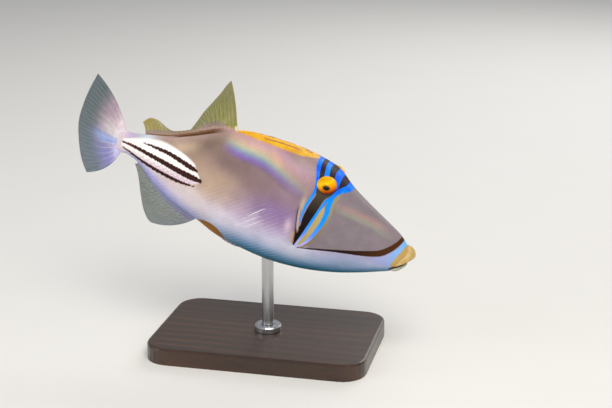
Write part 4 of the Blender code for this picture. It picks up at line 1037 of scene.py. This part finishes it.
tail = {
    "cut": -1.8, "sunk": 4.0, "narrows": 0.4, "rootZ": (8.2, -5.4), "fan": (66.0, -78.0),
    "length": (28.0, 36.0), "rays": 12, "root": 1.0, "rootDepth": 0.36, "columns": 240, "rows": 80,
    "marginX": [
        (0.0, -28.6), (0.16, -31.8), (0.32, -33.8), (0.52, -34.6), (0.7, -31.8), (0.86, -27.0), (1.0, -21.2)],
    "marginZ": [
        (0.0, 33.4), (0.16, 22.8), (0.32, 12.8), (0.52, 1.0), (0.7, -9.8), (0.86, -20.2), (1.0, -27.2)],
    "rayColour": "#f2e8f2", "rayShare": (0.5, 0.1), "alpha": (0.72, 0.82), "rootAlpha": 1.0, "rootReach": 0.34,
    "paint": [  # pink-white root, pinkish above and violet below, then a clear lilac-grey margin
        "#efdce2", ("#b79cae", 1.0, ("reach", 0.1, 0.42)),
        (["#d8c6de", ("#8f86b0", 1.0, ("reach", 0.1, 0.5))], 1.0, ("place", 0.3, 0.55)),
        (["#d0caf6", ("#8886cc", 1.0, ("reach", 0.08, 0.4))], 1.0, ("place", 0.55, 0.8)),
        (["#3c5658", ("#566c78", 1.0, ("place", 0.2, 0.9))], 1.0, ("reach", 0.36, 0.8)),
        ("#e6dedc", 0.75, ("place", 0.16, 0.34), ("place", 0.58, 0.42), ("reach", 0.62, 0.3)),
        ("#94b2f2", 0.85, ("place", 0.44, 0.54), ("place", 0.68, 0.56), ("reach", 0.8, 0.35))],
}
marginXAt, marginZAt = curveThrough(tail["marginX"]), curveThrough(tail["marginZ"])


def tailCentre(u, v):
    zero = u * 0.0
    rootZ = between(tail["rootZ"], u)
    root = np.stack((zero + tail["cut"], zero, rootZ), axis=1)
    tip = np.stack((marginXAt(u), zero, marginZAt(u)), axis=1)
    angle = np.radians(between(tail["fan"], u))
    pull = np.linalg.norm(tip - root, axis=1) * 0.5
    knee = root + np.stack((-np.cos(angle), zero, np.sin(angle)), axis=1) * pull[:, None]
    v = v[:, None]
    point = root * (1.0 - v) ** 2 + knee * 2.0 * v * (1.0 - v) + tip * v * v
    inside = v[:, 0] <= 0.0  # the first row of points is hidden in the flesh
    point[:, 0] += np.where(inside, tail["sunk"], 0.0)
    point[:, 2] += np.where(inside, (sum(tail["rootZ"]) / 2.0 - rootZ) * tail["narrows"], 0.0)
    return point


def tailLength(u):
    return between(tail["length"], np.abs(2.0 * u - 1.0))


tailMembrane = finMaterial("tailMembrane", tail)
makeFin("tailFin", "caudal_fin", "tail_membrane", tail, tailCentre, tailLength, tailMembrane)

pectoral = {
    "base": ((112.9, -3.0), (113.9, -14.0)), "angle": (29.0, 3.0), "droop": (70.0, 38.0), "droopStart": 8.0,
    "droopLength": 14.0, "sink": 1.4, "standOff": 4.6, "spread": 3.5, "flare": 0.12,
    "rays": 13, "rayWidth": (0.4, 0.5), "branched": 0.0, "root": 0.3, "rootDepth": 0.2,
    "columns": 208, "rows": 50,
    "length": [(0.0, 30.0), (0.12, 36.0), (0.4, 33.0), (0.75, 24.0), (1.0, 15.0)],
    # the whitish rays stand for painted highlights where the rays catch the light
    "rayColour": "#fbf4ff", "rayShare": (0.3, 0.95), "alpha": (0.02, 0.95), "rootAlpha": 0.0, "rootReach": 0.16,
    "paint": ["#bda3b8", ("#e2d9ec", 1.0, ("reach", 0.0, 0.25))],  # clear membrane with whitish rays, shown as painted highlight streaks
    "show": [("reach", 0.54, 0.68), ("place", 0.75, 0.5), ("third", 0.8, 0.4, 0.2, 1.0)],
    "most": 0.95, "least": 0.05,
    "fadeOut": [("reach", 1.0, 0.8, 0.15, 1.0), ("reach", 0.1, 0.32)],
}


def pectoralCentre(side):  # rays set out backwards, then droop
    lengthOf = curveThrough(pectoral["length"])
    baseX, baseZ = zip(*pectoral["base"])

    def centre(u, v):
        x = between(baseX, u)
        z = between(baseZ, u)
        out = lengthOf(u) * v
        lift = pectoral["standOff"] * (1.0 - np.exp(-out / pectoral["spread"]))
        y = side * (skinWidth(x, z) + lift + pectoral["flare"] * out - pectoral["sink"])
        angle = between(pectoral["angle"], u)
        droop = between(pectoral["droop"], u)
        for i in range(fins["steps"]):
            along = out * (i + 0.5) / fins["steps"]
            drooped = ease((along - pectoral["droopStart"]) / pectoral["droopLength"])
            turned = np.radians(angle - droop * drooped)
            x = x - np.cos(turned) * out / fins["steps"]
            z = z + np.sin(turned) * out / fins["steps"]
        return np.stack((x, y, z), axis=1)

    return centre, lengthOf


def pectoralShow(tree, fields):  # painted highlight streaks: nothing shows at the root, most on every third upper ray where it droops
    number = addNode(tree, "Math", (fields["place"], pectoral["rays"], -0.5), operation="MULTIPLY_ADD")
    fields["third"] = addNode(tree, "Math", (number, 1.5), operation="PINGPONG")
    shown = shareOf(tree, fields, pectoral["most"], pectoral["show"])
    fields["shown"] = addNode(tree, "Math", (shown, pectoral["least"]), operation="ADD")
    return shareOf(tree, fields, 1.0, [("shown",), *pectoral["fadeOut"]])


pectoralMembrane = finMaterial("pectoralMembrane", pectoral, pectoralShow)
for side, label in ((-1.0, "right"), (1.0, "left")):
    makeFin(
        label + "PectoralFin", "pectoral_fin_" + label, "fin_membrane", pectoral, *pectoralCentre(side),
        pectoralMembrane)
print("fins made")


# Folded first dorsal fin: pleated yellow membrane in its groove with three spines laid back
foldedFin = {
    "range": (64.9, 112.2), "halfWidth": 1.75, "depth": 1.5, "rise": 0.35, "pleats": 3, "pleatDepth": 0.28,
    "sway": (0.4, 5.0), "spineRidges": (0.07, 70.0),
    "spines": [  # base x, tip x, base radius, tip radius, rise of base and tip
        (110.4, 83.0, 1.25, 0.4, -0.1, 0.6), (99.0, 77.5, 0.85, 0.3, -0.1, 0.4),
        (89.0, 72.0, 0.65, 0.25, -0.1, 0.3)],
}


def foldedMaterial(name, pale, deep, line):  # leathery membrane or rough bone, with painted shade in its creases
    material, tree, shader, fields = newMaterial(
        name, "crease", Roughness=0.4, Coat_Weight=0.25, Coat_Roughness=0.25)
    fields["mottle"] = grain(tree, 2.2, 4.0)
    colour = painted(tree, fields, [
        pale, (deep, 1.0, ("mottle", 0.3, 0.7)), (line, 0.85, ("crease", 0.35, 0.9))])
    finishMaterial(tree, shader, colour, grain(tree, 0.5, 3.0), 0.5, 0.15)
    return material


def makeFoldedFin(material):
    piece, t, angle = spherePiece("foldedDorsalFin", 160, 64, material)
    x = between(foldedFin["range"], t)
    close = closing(t, 8)
    across = np.cos(angle)
    above = np.sin(angle) > 0.0
    swayed, swayLength = foldedFin["sway"]
    wave = across * math.pi * foldedFin["pleats"] / 2.0 + swayed * np.sin(x / swayLength)
    pleat = np.abs(np.sin(wave)) * above
    reach = np.where(above, foldedFin["rise"], foldedFin["depth"])
    y = foldedFin["halfWidth"] * close * across
    z = topAt(x) + reach * close * np.sin(angle) - foldedFin["pleatDepth"] * (1.0 - pleat) * close
    keepValue(piece, "crease", (1.0 - pleat) * above)
    placePoints(piece, np.stack((x, y, z), axis=1))
    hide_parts("spiny_dorsal_fin")
    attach(piece, "root")


def makeSpine(name, sizes, material):  # a tapered bony spine with a rough front
    baseX, tipX, baseRadius, tipRadius, baseRise, tipRise = sizes
    piece, t, angle = spherePiece(name, 90, 24, material)
    ridgeRise, ridgeCount = foldedFin["spineRidges"]
    ridges = 1.0 + ridgeRise * np.sin(t * ridgeCount * math.pi) * (np.sin(angle) > 0.2)
    radius = between((baseRadius, tipRadius), t) * closing(t, 10) * ridges
    z = between((topAt(baseX) + baseRise, topAt(tipX) + tipRise), t) + np.sin(angle) * radius
    keepValue(piece, "crease", 0.5 * (1.0 - ridges) + 0.2 * (np.abs(np.cos(angle)) > 0.9))
    placePoints(piece, np.stack((between((baseX, tipX), t), np.cos(angle) * radius, z), axis=1))
    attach(piece, "root")


yellowFold = foldedMaterial("foldedFinMembrane", "#ffd21a", "#f0b00c", "#8d5a1e")
spineBone = foldedMaterial("spineBone", "#b98a78", "#9a6c55", "#6a4230")
makeFoldedFin(yellowFold)
for number, sizes in enumerate(foldedFin["spines"], 1):
    makeSpine("dorsalSpine" + str(number), sizes, spineBone)


# Pelvic spine: a short keel of rough scales on the belly
pelvic = {
    "range": (70.5, 84.5), "halfWidth": 1.75, "drop": 1.8, "sink": 1.6, "scales": 5, "step": 0.14,
    "warts": (0.06, 9.0, 4.0),
}


def makePelvicSpine(material):
    piece, t, angle = spherePiece("pelvicSpine", 100, 48, material)
    x = between(pelvic["range"], t)
    crease = 1.0 - (t * pelvic["scales"]) % 1.0
    wartRise, wartsRound, wartsAlong = pelvic["warts"]
    warts = 1.0 + wartRise * np.sin(angle * wartsRound) * np.sin(t * pelvic["scales"] * wartsAlong * math.pi)
    scale = closing(t, 3) * (1.0 - pelvic["step"] * crease) * warts
    reach = np.where(np.sin(angle) > 0.0, pelvic["sink"], pelvic["drop"])
    y = pelvic["halfWidth"] * scale * np.cos(angle)
    z = bottomAt(x) + reach * scale * np.sin(angle)
    keepValue(piece, "crease", crease)
    placePoints(piece, np.stack((x, y, z), axis=1))
    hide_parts("pelvic_spine")
    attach(piece, "root")


makePelvicSpine(foldedMaterial("roughScale", "#cfc7d8", "#b3a6b4", "#4c4038"))


# Tiny black spinules in three rows on each side of the tail stalk, curved forwards
spinules = {
    "rows": ["stripeUpper", "stripeMiddle", "stripeLower"], "range": [(14.0, 44.0), (8.0, 47.0), (8.0, 40.0)],
    "pitch": 2.6, "height": 1.0, "radius": 0.38, "tip": 0.06, "hook": 0.45, "sunk": 0.25, "varies": 0.15,
}


def spinuleOrder(mesh, number):  # vertex numbers of each separate cone
    parent = np.arange(len(mesh.vertices))
    edges = np.zeros(len(mesh.edges) * 2, int)
    mesh.edges.foreach_get("vertices", edges)
    for _ in range(12):
        for a, b in ((0, 1), (1, 0)):
            np.minimum.at(parent, edges[a::2], parent[edges[b::2]])
    return [np.nonzero(parent == root)[0] for root in np.unique(parent)][:number]


def makeSpinules(material):
    bm = bmesh.new()
    places = []
    for name, (rear, front) in zip(spinules["rows"], spinules["range"]):
        levelAt = curveThrough(np.array(marks[name])[:, :2])
        for x in np.arange(rear, front, spinules["pitch"]):
            places += [(x, side, float(levelAt(x))) for side in (-1.0, 1.0)]
    for _ in places:
        made = bmesh.ops.create_cone(
            bm, cap_ends=True, segments=7, radius1=1.0, radius2=spinules["tip"], depth=1.0)
        bmesh.ops.subdivide_edges(
            bm, edges=[e for e in bm.edges if all(v in made["verts"] for v in e.verts)
                       and abs(e.verts[0].co.z - e.verts[1].co.z) > 0.5], cuts=2)
    piece = finishObject(bm, "tailSpinules", material)
    flat = readPoints(piece.data)
    points = np.zeros(flat.shape)
    for numbers, (x, side, z) in zip(spinuleOrder(piece.data, len(places)), places):
        own = flat[numbers]
        slopeX = skinWidth(x + 0.5, z) - skinWidth(x - 0.5, z)
        slopeZ = skinWidth(x, z + 0.5) - skinWidth(x, z - 0.5)
        normal = unit(np.array((-slopeX, 1.0, -slopeZ), float)) * (1.0, side, 1.0)
        forward = unit(np.array((1.0, 0.0, 0.0)) - normal * normal[0])
        across = np.cross(normal, forward)
        rise = own[:, 2:] + 0.5
        radius = spinules["radius"] * (1.0 - spinules["varies"] * math.sin(x * 3.0))
        base = np.array((x, side * float(skinWidth(x, z)), z)) - normal * spinules["sunk"]
        bent = own[:, :1] * radius + spinules["hook"] * rise ** 2
        points[numbers] = (
            base + forward * bent + across * own[:, 1:2] * radius + normal * rise * spinules["height"])
    keepValue(piece, "crease", np.zeros(len(flat)))
    placePoints(piece, points)
    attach(piece, "root")


makeSpinules(foldedMaterial("spinuleBone", "#1c120e", "#2a1c16", "#0d0806"))
print("spines and spinules made")


# Stand: dark stained wood base, brushed steel rod and collar; the solids' own shapes stay
def woodMaterial():  # stained beech board, sealed with satin lacquer: long grain and fine pores
    material, tree, shader, fields = newMaterial(
        "stainedWood", Roughness=0.4, Coat_Weight=0.35, Coat_Roughness=0.18)
    place = addNode(tree, "TexCoord", output="Object")
    place = addNode(tree, "Mapping", {"Vector": place, "Scale": (0.12, 1.0, 1.0)})
    fields["warp"] = addNode(
        tree, "TexNoise", {"Vector": place, "Scale": 60.0, "Detail": 4.0, "Distortion": 0.6})
    fields["pores"] = addNode(tree, "TexNoise", {"Vector": place, "Scale": 900.0, "Detail": 2.0})
    rings = addNode(tree, "TexWave", {
        "Vector": place, "Scale": 38.0, "Distortion": 9.0, "Detail": 3.0, "Detail Scale": 1.2}, "Fac",
        bands_direction="Y")
    woodTones = [(0.0, "#33200f"), (0.5, "#3f2615"), (1.0, "#4b2f1c")]
    fields["rings"] = addNode(tree, "ValToRGB", (rings,), stops=woodTones)
    colour = painted(tree, fields, [
        "rings", ("#321d10", 0.6, ("warp", 0.3, 0.7)), ("#150b07", 0.7, ("pores", 0.58, 0.7))])
    finishMaterial(tree, shader, colour, fields["pores"], 0.25, 0.1)
    return material


def steelMaterial(name, stretch):  # stainless steel, brushed in one direction
    material, tree, shader, fields = newMaterial(name, Metallic=1.0, Roughness=0.3)
    brush = fields["brush"] = grain(tree, 0.5, 3.0, 0.6, stretch)
    colour = painted(tree, fields, ["#a9aaab", ("#cfd0d2", 1.0, ("brush",))])
    finishMaterial(tree, shader, colour, brush, 0.2, 0.03)
    tree.links.new(addNode(tree, "MapRange", (brush, 0.3, 0.7, 0.24, 0.4)), shader.inputs["Roughness"])
    return material


standFinish = {
    "stand_base": woodMaterial(),
    "stand_rod": steelMaterial("brushedSteelRod", (1.0, 1.0, 0.03)),
    "stand_collar": steelMaterial("brushedSteelCollar", (1.0, 1.0, 0.05)),
}
for name, material in standFinish.items():
    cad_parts[name].material_slots[0].material = material
print("stand finished")


# Studio
studio = {
    "floorRadius": 6.0, "floor": "#e9e7e3", "floorCloud": "#e6e4e0", "world": "#eef1f5", "worldStrength": 0.40,
    "aim": (95.0, 0.0, 0.0),
    "lights": [  # name, place in metres, size, watts, colour
        ("keyLight", (0.35, -0.75, 1.15), 0.9, 15.0, "#fffaf2"),
        ("fillLight", (-0.95, -0.65, 0.55), 0.9, 3.2, "#eef4ff"),
        ("backLight", (0.3, 0.95, 0.8), 0.8, 5.0, "#ffffff")],
}


def addStudio():
    bm = bmesh.new()
    bmesh.ops.create_circle(bm, cap_ends=True, segments=96, radius=studio["floorRadius"])
    material, tree, shader, fields = newMaterial("paleCard", Roughness=0.8)  # matt card
    fields["cloud"] = grain(tree, 60.0, 2.0)
    colour = painted(tree, fields, [studio["floor"], (studio["floorCloud"], 1.0, ("cloud",))])
    tree.links.new(colour, shader.inputs["Base Color"])
    floor = finishObject(bm, "studioFloor", material)
    world = bpy.data.worlds.new("softWorld")
    bpy.context.scene.world = world
    world.use_nodes = True
    background = world.node_tree.nodes["Background"]
    background.inputs["Color"].default_value = rgba(studio["world"])
    background.inputs["Strength"].default_value = studio["worldStrength"]
    aim = toWorld([studio["aim"]])[0]
    for name, place, size, watts, colour in studio["lights"]:
        data = bpy.data.lights.new(name, "AREA")
        data.size, data.energy, data.color = size, watts, linear(colour)
        light = bpy.data.objects.new(name, data)
        bpy.context.scene.collection.objects.link(light)
        light.location = place
        back = bpy.context.scene.cursor.location.copy()
        back.xyz = place[0] - aim[0], place[1] - aim[1], place[2] - aim[2]
        light.rotation_euler = back.to_track_quat("Z", "Y").to_euler()
    bpy.context.scene.view_settings.view_transform = "Standard"


shot = {"azimuth": 13.0, "elevation": 17.0, "distance": 0.80, "target": (114.39, 0.0, 3.54), "lens": 81.82}


def addCamera():
    azimuth, elevation = math.radians(shot["azimuth"]), math.radians(shot["elevation"])
    level = math.cos(elevation)
    back = (math.sin(azimuth) * level, -math.cos(azimuth) * level, math.sin(elevation))
    data = bpy.data.cameras.new("photoCamera")
    data.lens, data.sensor_width = shot["lens"], 36.0
    data.clip_start = 0.01
    camera = bpy.data.objects.new("photoCamera", data)
    bpy.context.scene.collection.objects.link(camera)
    target = toWorld([shot["target"]])[0]
    camera.location = [target[k] + back[k] * shot["distance"] for k in range(3)]
    camera.rotation_euler = (math.pi / 2.0 - elevation, 0.0, azimuth)
    bpy.context.scene.camera = camera


addStudio()
addCamera()
print("studio ready")
